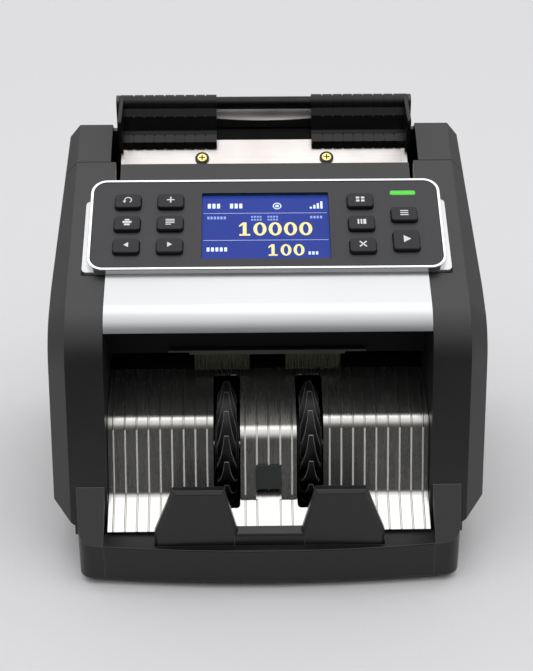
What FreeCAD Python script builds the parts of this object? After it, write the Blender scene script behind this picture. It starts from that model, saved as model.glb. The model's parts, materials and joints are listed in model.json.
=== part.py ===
"""Banknote counting machine, millimetres. +X right, +Y to the rear, +Z up, origin under the centre.

Two tall side housings and a rear cover stand on a low base. Between them are, from the top, the
hopper with its two sliding note guides, the sloping control panel, a curved front cover, and the
stacker bay with its bent steel sheet, two finger wheels and a two-finned note stop.
"""
import FreeCAD
import Part
import math
import os

V = FreeCAD.Vector

# ---- overall sizes -------------------------------------------------------------------------
WIDTH = 285.0                 # across the two side housings
FRONT_Y = -124.0              # foremost point of the bulging front tray
REAR_Y = 124.0                # rear wall
FOOT_H = 3.7                  # rubber foot height
BASE_TOP = 24.0               # top of the base pan, where the side housings start
BAY_HALF = 106.0              # half the clear width of the stacker bay
HOPPER_HALF = 103.5           # half the clear width beside the hopper
WALL = 2.5                    # moulded wall
GAP = 0.4                     # fitting gap between moulded parts
SHEET = 1.0                   # steel sheet thickness
RUN = 0.08                    # radial running clearance of a shaft

# ---- side housings -------------------------------------------------------------------------
FACE_LEAN = 0.22              # front face: set back in Y per millimetre of height
FACE_FOOT_Y = -95.7           # front face at BASE_TOP
TOP_RISE = 0.44               # top face: rise per millimetre of depth
TOP_Z0 = 188.4                # top face height at Y = 0
TOP_REAR_Y = 105.2            # where the top face ends
REAR_DROP = 15.5              # drop of the rear top bevel
SHOULDER_R = 50.0             # rounding between front face and top face
EDGE_BEVEL = 12.0             # bevel round the outer side
SPLIT_Y = 71.5                # seam between side housings and rear cover
TAPER_Y, TAPER = -20.0, 0.038 # the sides lean in behind this depth, by this much per millimetre
SILL_STEP = 2.4               # the housings' raised sill starts this far beside the base
SILL_Z, SILL_RISE = 30.0, 0.79    # height of the sill there, and its rise outwards
HOLLOW_FRONT_Y = -25.0        # rear edge of the bay's cheek wall
ROOF = 12.0                   # depth of the hopper's side walls below the top face

# ---- base ----------------------------------------------------------------------------------
BASE_HALF = 125.4             # half width of the base
BASE_REAR_Y = 121.0
TRAY_SIDE_Y = -118.2          # tray front at its side seams
CREASE_Z = 30.0               # top edge of the tray's front face
SEAM_HALF = 107.3             # half width of the tray between its seams
CORNER_R = 9.0                # plan rounding of the base's front corners
BLOCK_TOP_Z = 57.0            # top of a base block where it meets the housing
LIP_REAR_Y = -105.0           # rear edge of the tray lip
FOOT_R = 9.0
FOOT_INSET = 16.0

# ---- control panel, in its own tilted frame --------------------------------------------------
PANEL_SLOPE = math.degrees(math.atan(0.47))
PANEL_Y, PANEL_Z = -26.1, 184.0   # lower front edge of the panel face
PANEL_HALF = 118.2
PANEL_LEN = 78.5
PANEL_R = 11.0
RIM = 2.2                     # bright rim width
RIM_H = 5.6                   # rim height above the cover plane
PLATE_T = 2.0                 # dark panel plate
PLATE_SINK = 0.5              # plate below the rim
KEY_W, KEY_L, KEY_R = 17.4, 12.0, 2.4
BIG_KEY_L = 16.8
KEY_STAND = 2.9               # key top above the panel plate
KEY_GAP = 0.45
KEY_FLANGE = 1.1              # flange that keeps a key under the plate
SCREEN_W, SCREEN_L = 85.5, 57.5
SCREEN_X, SCREEN_V = -0.4, 37.7
SCREEN_SINK = 3.0             # screen glass below the plate face
GLASS_T = 1.0
BOARD_DEPTH = 8.2             # circuit board below the plate face
LEFT_KEYS = {"auto": (-92.6, 57.7), "add": (-64.0, 57.7), "print": (-92.6, 38.2),
             "report": (-64.0, 38.2), "previous": (-92.6, 18.7), "next": (-64.0, 18.7)}
RIGHT_KEYS = {"mode": (63.5, 57.1), "batch": (63.5, 37.3), "clear": (63.5, 18.0),
              "menu": (92.4, 44.8)}
START_KEY = (92.4, 22.1)
LIGHT_W, LIGHT_L = 17.4, 4.0
LIGHT_X, LIGHT_V = 92.8, 65.4

# ---- front cover ---------------------------------------------------------------------------
COVER_LIFT = 2.0              # cover plane above the housing's top face
COVER_T = 3.0
WING_HALF = 121.5
WING_FRONT_Y = -22.5
COVER_REAR_Y = 45.0
WING_REAR_Y = 35.0
APRON_BEND = (-57.6, 166.6)   # corner of the apron's two straight runs
APRON_FOOT = (-62.6, 156.4)
APRON_R = 26.0

# ---- hopper --------------------------------------------------------------------------------
HOPPER_FRONT_Y = 59.6         # front wall of the hopper
HOPPER_WALL_FOOT = 203.0
HOPPER_SLOPE = 0.7            # steel floor: rise per millimetre of depth
HOPPER_Y0, HOPPER_Z0 = 90.9, 217.4
HOPPER_BEND_Y = 106.0
HOPPER_TOP = (121.0, 243.0)
BAR_HALF = 99.0               # half length of the bar across the front
FLOOR_HALF = 101.0
HEM_W, FLANGE_H = 4.0, 2.0    # folded hem along each side of the floor
HEM_REAR_Y = 92.3
HOPPER_REAR_HALF = 107.3      # half opening of the rear cover behind the seam
GUIDE_OUT, GUIDE_IN = 101.8, 33.6
GUIDE_WALL = 2.5
GUIDE_FRONT_Y = 93.6
GUIDE_CLEAR = 0.35            # guide above the steel floor
ROD_Y, ROD_Z, ROD_R = 113.4, 247.4, 4.5
ROD_END = 2.2                 # rod past the guides' outer faces
ROD_CAP = 0.6                 # lug wall over the rod's end
ROD_LUG_GAP, ROD_LUG_HALF = 0.5, 5.7
ROLL_R = 6.0                  # roll of the guide round the rod
GROOVES = 8
GROOVE_FIRST, GROOVE_PITCH = 41.5, 7.24
GROOVE_W, GROOVE_DEPTH = 0.9, 0.8
SCREW_X = 44.0
BACK_STRIP_Y, BACK_STRIP_T = 107.1, 1.2
BACK_STRIP_TOP, BACK_STRIP_DISH = 241.4, 5.0
SCREW_Y = 87.8

# ---- stacker bay -----------------------------------------------------------------------------
SHEET_PATH = [(-23.5, 108.0), (-66.5, 93.0), (-83.6, 46.6), (LIP_REAR_Y - 1.0, 33.0)]
SHEET_RADII = (11.0, 6.0)     # upper and lower bend
CENTRE_FORWARD = 3.4          # centre sheet stands this much in front of the outer ones
CENTRE_DROP = 4.6             # its upper bend lies this much lower on the steep run
CENTRE_RADIUS = 13.0
SLOT_IN, SLOT_OUT = 18.8, 36.2
SLOT_CLEAR = 2.2              # slot beyond the wheel's rim
RIB_W, RIB_H = 1.3, 0.5       # pressed ribs that the notes slide on
RIB_PITCH = 7.7
RIB_FIRST = 40.3
TONGUE_HALF = 8.4             # floor tongue under the sensor cover
WHEEL_X = 27.5
WHEEL_Y, WHEEL_Z = -46.6, 62.0
WHEEL_R = 43.5
WHEEL_HUB_R, HUB_W = 24.0, 15.8
FINGERS = 16
FIRST_TIP = 62.0              # angle of one fingertip above the forward direction
FINGER_SWEEP = 52.0
FINGER_T = 1.7
FINGER_W, TIP_W = 13.0, 3.0
FINGER_POINT = 10.0           # a finger narrows over this much of its radius
SENSOR_W, SENSOR_L = 16.6, 16.0
SENSOR_FOOT = 7.7             # sensor cover's lower edge above the floor

# ---- note stop -------------------------------------------------------------------------------
STOP_FRONT_Y = -118.0
STOP_T = 6.5
FIN_TOP_Z = 71.7
FIN_TOP = (29.0, 61.8)        # inner and outer half positions of a fin's top edge
FIN_FOOT = (20.6, 74.3)
FIN_SKIRT_Z = 39.5            # a fin's sides are upright below this
FIN_BEVEL = 2.2
STOP_FOOT_Z = 27.5
BRIDGE_Z = 41.0

# ---- drive -----------------------------------------------------------------------------------
FRAME_X, FRAME_T = 108.6, 1.5
MECH_HALF = FRAME_X + FRAME_T + 0.6   # half width of the room between the housings
FRAME_FOOT = (-20.0, 64.0)    # stretch of a frame that stands on the base pan
SHAFT_R = 4.0
FEED = (66.0, 181.0)
TRANSPORT = (10.0, 140.0)
STACKER = (WHEEL_Y, WHEEL_Z)
MOTOR = (72.0, 62.0)
FEED_ROLLER_R, TRANSPORT_ROLLER_R = 21.0, 15.0
ROLLER_W = 14.0
ROLLER_X = (-27.0, 27.0)
PULLEY_T = 7.0
PULLEY_X = -112.0             # inner face of the pulleys
PULLEY_R = {"feed": 18.0, "transport": 16.0, "stacker": 15.0, "motor": 7.5}
BELT_T, BELT_CLEAR = 1.4, 0.3
MOTOR_R, MOTOR_L = 18.0, 52.0

# ---- rear door and power entry ---------------------------------------------------------------
DOOR_HALF = 84.5
DOOR_LOW, DOOR_HIGH = 97.5, 188.0
DOOR_GAP = 0.6
DOOR_T = 2.6
BARREL_R = 2.8
PIN_R = 1.8
PIN_L = 4.0
VENT_X = 97.0
INLET_X, INLET_Z = 78.0, 58.0
INLET_W, INLET_H = 27.5, 19.5
INLET_DEPTH = 17.0
SWITCH_X, SWITCH_Z = 44.0, 58.0
SWITCH_W, SWITCH_H = 15.0, 21.0
SWITCH_WALL = 1.6
ROCKER_PIN_R = 1.2


# ---- drawing helpers -------------------------------------------------------------------------
def in_yz(x):
    return lambda a, b: V(x, a, b)


def in_xy(z):
    return lambda a, b: V(a, b, z)


def in_xz(y):
    return lambda a, b: V(a, y, b)


def corner(before, at, after, radius):
    """Start, middle and end of the arc that rounds a corner."""
    one, two = (before - at), (after - at)
    one.normalize()
    two.normalize()
    half = one.getAngle(two) / 2
    reach = radius / math.tan(half)
    middle = one + two
    middle.normalize()
    centre = at + middle * (radius / math.sin(half))
    return at + one * reach, centre - middle * radius, at + two * reach


def edges_of(points, place, closed):
    """Straight edges through (a, b) or (a, b, radius) points, with the given corners rounded."""
    spots = [(place(p[0], p[1]), p[2] if len(p) > 2 else 0.0) for p in points]
    count = len(spots)
    edges, last, first = [], None, None
    for i, (at, radius) in enumerate(spots):
        inside = closed or 0 < i < count - 1
        if radius and inside:
            start, middle, end = corner(spots[i - 1][0], at, spots[(i + 1) % count][0], radius)
            if last is not None:
                edges.append(Part.LineSegment(last, start).toShape())
            edges.append(Part.Arc(start, middle, end).toShape())
            last, first = end, first or start
        else:
            if last is not None:
                edges.append(Part.LineSegment(last, at).toShape())
            last, first = at, first or at
    if closed:
        edges.append(Part.LineSegment(last, first).toShape())
    return edges


def loop(points, place):
    return Part.Wire(edges_of(points, place, True))


def prism(points, place, along):
    """Solid from a closed outline, drawn by place and pushed along a vector."""
    return Part.Face(loop(points, place)).extrude(along)


def side_prism(points, x0, x1):
    return prism(points, in_yz(x0), V(x1 - x0, 0, 0))


def box(x0, x1, y0, y1, z0, z1):
    return Part.makeBox(x1 - x0, y1 - y0, z1 - z0, V(x0, y0, z0))


def rod_x(x0, x1, y, z, radius):
    return Part.makeCylinder(radius, x1 - x0, V(x0, y, z), V(1, 0, 0))


def rounded_plate(w, h, radius, z0, z1, cx=0.0, cy=0.0):
    corners = [(cx + sx * w / 2, cy + sy * h / 2, radius)
               for sx, sy in ((-1, -1), (1, -1), (1, 1), (-1, 1))]
    return prism(corners, in_xy(z0), V(0, 0, z1 - z0))


def strip(points, radii, thickness, x0, x1):
    """Bent sheet: a path in the YZ plane with rounded bends, thickened to its left."""
    path = [points[0]] + [(p[0], p[1], r) for p, r in zip(points[1:-1], radii)] + [points[-1]]
    far = []
    for i, p in enumerate(points):
        before = points[max(i - 1, 0)]
        after = points[min(i + 1, len(points) - 1)]
        first = normal_of(before, p) if i else normal_of(p, after)
        second = normal_of(p, after) if i < len(points) - 1 else first
        stretch = thickness / (1 + first[0] * second[0] + first[1] * second[1])
        far.append((p[0] + (first[0] + second[0]) * stretch,
                    p[1] + (first[1] + second[1]) * stretch))
    back = [far[0]]
    for i in range(1, len(points) - 1):
        turn = cross(points[i - 1], points[i], points[i + 1])
        radius = radii[i - 1] + (-thickness if turn > 0 else thickness)
        back.append((far[i][0], far[i][1], max(radius, 0.3)))
    back.append(far[-1])
    return side_prism(path + back[::-1], x0, x1)


def normal_of(a, b):
    length = math.hypot(b[0] - a[0], b[1] - a[1])
    return (-(b[1] - a[1]) / length, (b[0] - a[0]) / length)


def cross(a, b, c):
    return (b[0] - a[0]) * (c[1] - b[1]) - (b[1] - a[1]) * (c[0] - b[0])


def mirrored(shape):
    return shape.mirror(V(0, 0, 0), V(1, 0, 0))


def fillet_where(shape, radius, wanted):
    """Rounds the edges for which wanted(edge) holds."""
    edges = [e for e in shape.Edges if wanted(e)]
    return shape.makeFillet(radius, edges)


def chamfer_where(shape, size, wanted):
    edges = [e for e in shape.Edges if wanted(e)]
    return shape.makeChamfer(size, edges)


def on_x(edge, x):
    return all(abs(v.X - x) < 1e-4 for v in edge.Vertexes)


def tilt(shape):
    """From the panel's own frame (x, up the slope, out of the face) to the machine's."""
    done = shape.copy()
    done.Placement = FreeCAD.Placement(V(0, PANEL_Y, PANEL_Z),
                                       FreeCAD.Rotation(V(1, 0, 0), PANEL_SLOPE))
    return done


def fuse(shapes):
    return shapes[0].multiFuse(shapes[1:]).removeSplitter() if len(shapes) > 1 else shapes[0]


# ---- outline of the housings -----------------------------------------------------------------
def face_y(z):
    return FACE_FOOT_Y + FACE_LEAN * (z - BASE_TOP)


def top_z(y):
    return TOP_Z0 + TOP_RISE * y


def shoulder():
    z = (TOP_Z0 + TOP_RISE * (FACE_FOOT_Y - FACE_LEAN * BASE_TOP)) / (1 - TOP_RISE * FACE_LEAN)
    return face_y(z), z


def housing_outline(inset=0.0):
    """Closed outline of the housings seen from the side, moved in by a wall."""
    y, z = shoulder()
    lean = math.hypot(1, FACE_LEAN)
    rise = math.hypot(1, TOP_RISE)
    bevel_run, bevel_fall = REAR_Y - TOP_REAR_Y, REAR_DROP
    foot = (face_y(BASE_TOP + inset) + inset * lean, BASE_TOP + inset)
    crest_z = (TOP_Z0 - inset * rise + TOP_RISE * (FACE_FOOT_Y - FACE_LEAN * BASE_TOP
                                                  + inset * lean)) / (1 - TOP_RISE * FACE_LEAN)
    crest = (face_y(crest_z) + inset * lean, crest_z, SHOULDER_R - inset)
    back = inset * math.tan(math.atan2(bevel_fall, bevel_run) / 2 + math.atan(TOP_RISE) / 2)
    rear_top = (TOP_REAR_Y - back, top_z(TOP_REAR_Y - back) - inset * rise)
    fall = math.hypot(bevel_run, bevel_fall)
    rear_z = top_z(TOP_REAR_Y) - bevel_fall - inset * (fall - bevel_fall) / bevel_run
    return [foot, crest, rear_top, (REAR_Y - inset, rear_z), (REAR_Y - inset, BASE_TOP + inset)]


def housing_slab(inset, x0, x1):
    """Right-hand slab between two X values, bevelled round its outer side."""
    slab = side_prism(housing_outline(inset), x0, x1)
    slab = chamfer_where(slab, EDGE_BEVEL, lambda e: on_x(e, x1))
    return slab.cut(taper_cut(inset)).cut(sill_cut(inset))


def taper_cut(inset):
    """What the lean of the sides takes off the right-hand slab towards the rear."""
    side, end = WIDTH / 2 - inset, REAR_Y + 1
    return prism([(side, TAPER_Y), (side + inset + 1, TAPER_Y), (side + inset + 1, end),
                  (side - TAPER * (end - TAPER_Y), end)], in_xy(0), V(0, 0, 300))


def sill_cut(inset):
    """What the raised sill takes off the right-hand slab beside the base."""
    edge = BASE_HALF + SILL_STEP
    lift = inset * math.hypot(1, SILL_RISE)
    x0, x1 = edge - inset, WIDTH / 2 + 1
    return prism([(x0, 0), (x1, 0), (x1, SILL_Z + lift + SILL_RISE * (x1 - edge)),
                  (x0, SILL_Z + lift + SILL_RISE * (x0 - edge))],
                 in_xz(FRONT_Y), V(0, REAR_Y - FRONT_Y + 1, 0))


def make_housing():
    """Right-hand side housing: a bevelled shell, open to the mechanism and the bay."""
    outer = housing_slab(0.0, HOPPER_HALF, WIDTH / 2)
    hollow = housing_slab(WALL, BAY_HALF + WALL, WIDTH / 2 - WALL)
    shell = outer.cut(hollow)

    front = shell.cut(box(0, WIDTH, SPLIT_Y - GAP / 2, REAR_Y + 1, 0, 400))
    bay = box(0, BAY_HALF, -150, HOLLOW_FRONT_Y + 30, 0, top_z(WING_FRONT_Y) - 12)
    apron_room = box(0, BAY_HALF, -150, WING_FRONT_Y - GAP, 0, 400)
    mechanism = side_prism([(HOLLOW_FRONT_Y, 0), (SPLIT_Y, 0), (SPLIT_Y, top_z(SPLIT_Y) - ROOF),
                            (HOLLOW_FRONT_Y, top_z(HOLLOW_FRONT_Y) - ROOF)], 0, MECH_HALF)
    pocket = cover_pocket(WING_REAR_Y, WING_HALF).fuse(cover_pocket(COVER_REAR_Y, PANEL_HALF))
    shaft_hole = rod_x(0, BAY_HALF + WALL + 1, *STACKER, SHAFT_R + 2)
    return biggest(front.cut([bay, apron_room, mechanism, pocket, shaft_hole]))


def cover_pocket(rear_y, half):
    """Room in a housing's top for the front cover, as far as a depth and a half width."""
    y0, y1 = WING_FRONT_Y - GAP, rear_y + GAP
    depth = (COVER_T - COVER_LIFT + GAP) * math.hypot(1, TOP_RISE)
    return side_prism([(y0, top_z(y0) - depth), (y1, top_z(y1) - depth),
                       (y1, top_z(y1) + 9), (y0, top_z(y0) + 9)], 0, half + GAP)


def biggest(shape):
    return max(shape.Solids, key=lambda s: s.Volume)


def make_rear_cover(hopper_plate):
    """Wraps the rear: both rear corners, the back wall and the band behind the hopper."""
    keep = box(0, WIDTH, SPLIT_Y + GAP / 2, REAR_Y + 1, 0, 400)
    outer = housing_slab(0.0, 0.0, WIDTH / 2).common(keep)
    hollow = housing_slab(WALL, -1.0, WIDTH / 2 - WALL)
    half = outer.cut(hollow)
    # the hopper's opening through the top
    half = half.cut(box(-1, HOPPER_REAR_HALF, SPLIT_Y, REAR_Y - 4.0, 195, 400))
    half = half.cut(box(-1, BASE_HALF - 6, SPLIT_Y, REAR_Y - WALL, BASE_TOP - 1, BASE_TOP + WALL + 1))
    whole = half.fuse(mirrored(half)).removeSplitter()
    door = box(-DOOR_HALF - DOOR_GAP, DOOR_HALF + DOOR_GAP, REAR_Y - WALL - 1, REAR_Y + 1,
               DOOR_LOW - DOOR_GAP + 0.3, DOOR_HIGH + DOOR_GAP)
    inlet = box(INLET_X - INLET_W / 2 - GAP / 2, INLET_X + INLET_W / 2 + GAP / 2,
                REAR_Y - WALL - 1, REAR_Y + 1,
                INLET_Z - INLET_H / 2 - GAP / 2, INLET_Z + INLET_H / 2 + GAP / 2)
    switch = box(SWITCH_X - SWITCH_W / 2 - GAP / 2, SWITCH_X + SWITCH_W / 2 + GAP / 2,
                 REAR_Y - WALL - 1, REAR_Y + 1,
                 SWITCH_Z - SWITCH_H / 2 - GAP / 2, SWITCH_Z + SWITCH_H / 2 + GAP / 2)
    whole = whole.cut(door).cut(inlet).cut(switch)
    ears = []
    for side in (-1, 1):
        x = side * (DOOR_HALF + DOOR_GAP + PIN_L / 2)
        ear = box(x - PIN_L / 2, x + PIN_L / 2, REAR_Y - 8, REAR_Y - 1,
                  DOOR_LOW - 1, DOOR_LOW + 6)
        ears.append(ear)
    lug = make_rod_lug().cut(hopper_plate)
    whole = fuse([whole, lug, mirrored(lug)] + ears)
    pin = rod_x(-DOOR_HALF - PIN_L - 1, DOOR_HALF + PIN_L + 1, *door_axis(), PIN_R + RUN)
    vents = [box(x - 7, x + 7, REAR_Y - WALL - 1, REAR_Y + 1, z, z + 2.4)
             for x in (-VENT_X, VENT_X) for z in range(114, 156, 6)]
    return whole.cut(pin).cut(Part.makeCompound(vents))


def make_rod_lug():
    """Right-hand lug that holds the guide rod's end and carries the steel floor on its foot."""
    x0, x1 = GUIDE_OUT + ROD_LUG_GAP, GUIDE_OUT + ROD_END + ROD_CAP
    y0, y1 = ROD_Y - ROD_LUG_HALF, ROD_Y + ROD_LUG_HALF
    low = top_z(TOP_REAR_Y) - REAR_DROP
    lug = side_prism([(y0, low), (y1, low), (y1, ROD_Z + ROD_LUG_HALF, ROD_LUG_HALF - 0.5),
                      (y0, ROD_Z + ROD_LUG_HALF, ROD_LUG_HALF - 0.5)], x0, x1)
    foot = box(FLOOR_HALF - HEM_W, HOPPER_REAR_HALF + WALL, y0, ROD_Y, low, floor_z(y0))
    return fuse([lug, foot]).cut(rod_x(x0 - 1, GUIDE_OUT + ROD_END, ROD_Y, ROD_Z, ROD_R))


def door_axis():
    return REAR_Y - 0.2 - BARREL_R, DOOR_LOW + BARREL_R


def make_rear_door():
    y, z = door_axis()
    plate = box(-DOOR_HALF, DOOR_HALF, REAR_Y - 0.2 - DOOR_T, REAR_Y - 0.2, z, DOOR_HIGH)
    barrel = rod_x(-DOOR_HALF, DOOR_HALF, y, z, BARREL_R)
    pins = rod_x(-DOOR_HALF - PIN_L + 0.5, DOOR_HALF + PIN_L - 0.5, y, z, PIN_R)
    pull = prism([(-16, DOOR_HIGH - 13, 2), (16, DOOR_HIGH - 13, 2), (16, DOOR_HIGH - 6, 2),
                  (-16, DOOR_HIGH - 6, 2)], in_xz(REAR_Y - 1.8), V(0, 2, 0))
    ribs = [box(x - 0.6, x + 0.6, REAR_Y - 6.5, REAR_Y - 2.0, z + 6, DOOR_HIGH - 4)
            for x in (-60, -30, 0, 30, 60)]
    return fuse([plate, barrel, pins] + ribs).cut(pull)


# ---- base ------------------------------------------------------------------------------------
def make_base_pan():
    """Shallow moulded pan that everything stands on."""
    y0 = FACE_FOOT_Y + 8
    outer = prism([(-BASE_HALF + 1, y0), (BASE_HALF - 1, y0), (BASE_HALF - 1, BASE_REAR_Y, 8),
                   (-BASE_HALF + 1, BASE_REAR_Y, 8)], in_xy(FOOT_H), V(0, 0, BASE_TOP - FOOT_H))
    inner = prism([(-BASE_HALF + 1 + WALL, y0 + WALL), (BASE_HALF - 1 - WALL, y0 + WALL),
                   (BASE_HALF - 1 - WALL, BASE_REAR_Y - WALL, 6),
                   (-BASE_HALF + 1 + WALL, BASE_REAR_Y - WALL, 6)],
                  in_xy(FOOT_H + WALL), V(0, 0, BASE_TOP))
    tongue = box(-SEAM_HALF + 4, SEAM_HALF - 4, LIP_REAR_Y + GAP / 2, y0 + 1,
                 FOOT_H, FOOT_H + WALL)
    return fuse([outer.cut(inner), tongue])


def foot_places():
    for x in (-1, 1):
        for y in (FACE_FOOT_Y + 8 + FOOT_INSET, BASE_REAR_Y - FOOT_INSET):
            yield x * (BASE_HALF - FOOT_INSET), y


def make_feet():
    feet = []
    for x, y in foot_places():
        foot = Part.makeCylinder(FOOT_R, FOOT_H, V(x, y, 0))
        feet.append(foot.makeChamfer(0.6, [e for e in foot.Edges if e.BoundBox.ZMax < 0.01]))
    return Part.makeCompound(feet)


def tray_front_edge(z, inset=0.0):
    """Bulging front edge of the tray in plan, as an arc from seam to seam."""
    left = V(-SEAM_HALF, TRAY_SIDE_Y + inset, z)
    right = V(SEAM_HALF, TRAY_SIDE_Y + inset, z)
    return Part.Arc(left, V(0, FRONT_Y + inset, z), right).toShape(), left, right


def make_front_tray():
    """Centre of the base's front: bulging front wall, flat lip and floor."""
    arc, left, right = tray_front_edge(FOOT_H)
    rear = LIP_REAR_Y
    back = [Part.LineSegment(right, V(SEAM_HALF, rear, FOOT_H)).toShape(),
            Part.LineSegment(V(SEAM_HALF, rear, FOOT_H), V(-SEAM_HALF, rear, FOOT_H)).toShape(),
            Part.LineSegment(V(-SEAM_HALF, rear, FOOT_H), left).toShape()]
    solid = Part.Face(Part.Wire([arc] + back)).extrude(V(0, 0, CREASE_Z + 1.2 - FOOT_H))
    slope = side_prism([(FRONT_Y - 1, CREASE_Z - 0.5), (FRONT_Y - 1, 60), (rear + 1, 60),
                        (rear + 1, CREASE_Z + 1.2)], -SEAM_HALF - 1, SEAM_HALF + 1)
    solid = solid.cut(slope)
    solid = fillet_where(solid, 1.0, lambda e: e.BoundBox.YMax < TRAY_SIDE_Y + 0.6
                         and e.BoundBox.ZMin > CREASE_Z - 3 and e.BoundBox.XLength > 100)
    solid = fillet_where(solid, 2.0, lambda e: e.BoundBox.YMax < TRAY_SIDE_Y + 0.6
                         and e.BoundBox.ZMax < FOOT_H + 0.1 and e.BoundBox.XLength > 100)
    hollow = side_prism([(TRAY_SIDE_Y + WALL, FOOT_H + WALL), (rear - 6, FOOT_H + WALL),
                         (rear - 6, CREASE_Z - WALL), (TRAY_SIDE_Y + WALL, CREASE_Z - WALL - 0.6)],
                        -SEAM_HALF + WALL, SEAM_HALF - WALL)
    slot_front, slot_rear = STOP_FRONT_Y - GAP, STOP_FRONT_Y + STOP_T + GAP
    slot = box(-FIN_FOOT[1] - GAP, FIN_FOOT[1] + GAP, slot_front + 0.2, slot_rear,
               STOP_FOOT_Z - GAP, 50)
    return biggest(solid.cut(hollow).cut(slot))


def make_base_block():
    """Right-hand front corner of the base, with its sloping top."""
    x0 = SEAM_HALF + 0.2
    rear = FACE_FOOT_Y + 8 - 0.2
    plan = [(x0, TRAY_SIDE_Y), (BASE_HALF - 2.0, TRAY_SIDE_Y + 1.2, CORNER_R),
            (BASE_HALF + 1.0, rear), (x0, rear)]
    solid = prism(plan, in_xy(FOOT_H), V(0, 0, BLOCK_TOP_Z + 20))
    slope = (BLOCK_TOP_Z - CREASE_Z) / (face_y(BLOCK_TOP_Z) - TRAY_SIDE_Y)
    y0, y1 = TRAY_SIDE_Y - 2, 0.0
    cut = side_prism([(y0, CREASE_Z + slope * (y0 - TRAY_SIDE_Y)),
                      (y1, CREASE_Z + slope * (y1 - TRAY_SIDE_Y)), (y1, 300), (y0, 300)],
                     x0 - 1, BASE_HALF + 9)
    solid = solid.cut(cut)
    # seat under the housing's leaning front face, with a fitting gap
    seat = side_prism([(face_y(BASE_TOP) - GAP, BASE_TOP - GAP), (40, BASE_TOP - GAP), (40, 200),
                       (face_y(200) - GAP, 200)], x0 - 1, BASE_HALF + 9)
    solid = solid.cut(seat)
    front_edges = [e for e in solid.Edges if e.BoundBox.YMax < TRAY_SIDE_Y + CORNER_R + 3
                   and e.BoundBox.ZMax < FOOT_H + 0.1 and e.BoundBox.XLength > 3]
    solid = solid.makeFillet(2.0, front_edges)
    room = box(x0 + WALL, BASE_HALF - 6, TRAY_SIDE_Y + CORNER_R, rear - WALL,
               FOOT_H + WALL, CREASE_Z - 2)
    return solid.cut(room)


# ---- front cover and panel -------------------------------------------------------------------
def cover_z(y):
    return top_z(y) + COVER_LIFT


def make_front_cover():
    """Silver cover: flat top part with wings under the panel, and the curved apron below."""
    y0 = WING_FRONT_Y
    wings = cover_sheet(WING_REAR_Y, WING_HALF)
    wings = fillet_where(wings, 3.0, lambda e: abs(e.BoundBox.XLength) < 1e-3
                         and e.BoundBox.YLength < COVER_T + 1)
    top = wings.fuse(cover_sheet(COVER_REAR_Y, PANEL_HALF - 0.5))
    path = [(y0 + 6, cover_z(y0 + 6)), APRON_BEND, APRON_FOOT]
    apron = strip(path, [APRON_R], COVER_T, -BAY_HALF + GAP, BAY_HALF - GAP)
    window = tilt(box(-PANEL_HALF + 8, PANEL_HALF - 8, 7, PANEL_LEN - 7, -40, 5))
    return biggest(top.fuse(apron).removeSplitter().cut(window))


def cover_sheet(rear_y, half):
    """Flat part of the front cover, as far as a depth and a half width."""
    y0, y1 = WING_FRONT_Y, rear_y
    drop = COVER_T * math.hypot(1, TOP_RISE)
    return side_prism([(y0, cover_z(y0)), (y1, cover_z(y1)), (y1, cover_z(y1) - drop),
                       (y0, cover_z(y0) - drop)], -half, half)


def make_panel_frame(cover):
    """Bright rim round the panel, standing on the front cover."""
    outer = rounded_plate(2 * PANEL_HALF, PANEL_LEN, PANEL_R, -RIM_H - 6, 0, 0, PANEL_LEN / 2)
    inner = rounded_plate(2 * (PANEL_HALF - RIM), PANEL_LEN - 2 * RIM, PANEL_R - RIM,
                          -RIM_H - 7, 1, 0, PANEL_LEN / 2)
    ring = outer.cut(inner)
    ring = fillet_where(ring, 0.7, lambda e: e.BoundBox.ZMin > -0.01)
    under = side_prism([(-60, cover_z(-60)), (80, cover_z(80)), (80, 0), (-60, 0)], -200, 200)
    return tilt(ring).cut(under).cut(cover)


def all_keys():
    for name, (x, v) in {**LEFT_KEYS, **RIGHT_KEYS}.items():
        yield name, x, v, KEY_L
    yield "start", START_KEY[0], START_KEY[1], BIG_KEY_L


def make_panel_plate():
    gap = 0.25
    plate = rounded_plate(2 * (PANEL_HALF - RIM - gap), PANEL_LEN - 2 * (RIM + gap),
                          PANEL_R - RIM - gap, -PLATE_SINK - PLATE_T, -PLATE_SINK,
                          0, PANEL_LEN / 2)
    for _, x, v, length in all_keys():
        plate = plate.cut(rounded_plate(KEY_W + 2 * KEY_GAP, length + 2 * KEY_GAP,
                                        KEY_R + KEY_GAP, -9, 1, x, v))
    plate = plate.cut(rounded_plate(SCREEN_W, SCREEN_L, 0.8, -9, 1, SCREEN_X, SCREEN_V))
    plate = plate.cut(rounded_plate(LIGHT_W, LIGHT_L, 1.4, -9, 1, LIGHT_X, LIGHT_V))
    return tilt(plate)


def make_key(x, v, length):
    """Moulded key cap with a domed edge and a retaining flange under the plate."""
    face = -PLATE_SINK
    cap = rounded_plate(KEY_W, length, KEY_R, face - PLATE_T - 1.6, face + KEY_STAND, x, v)
    cap = fillet_where(cap, 0.9, lambda e: e.BoundBox.ZMin > face + KEY_STAND - 0.01)
    flange = rounded_plate(KEY_W + 2 * KEY_FLANGE + 2 * KEY_GAP, length + 2 * KEY_FLANGE,
                           KEY_R, face - PLATE_T - 1.6, face - PLATE_T - 0.2, x, v)
    stem = Part.makeCylinder(2.0, 2.2, V(x, v, face - PLATE_T - 3.6))
    return tilt(fuse([cap, flange, stem]))


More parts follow.
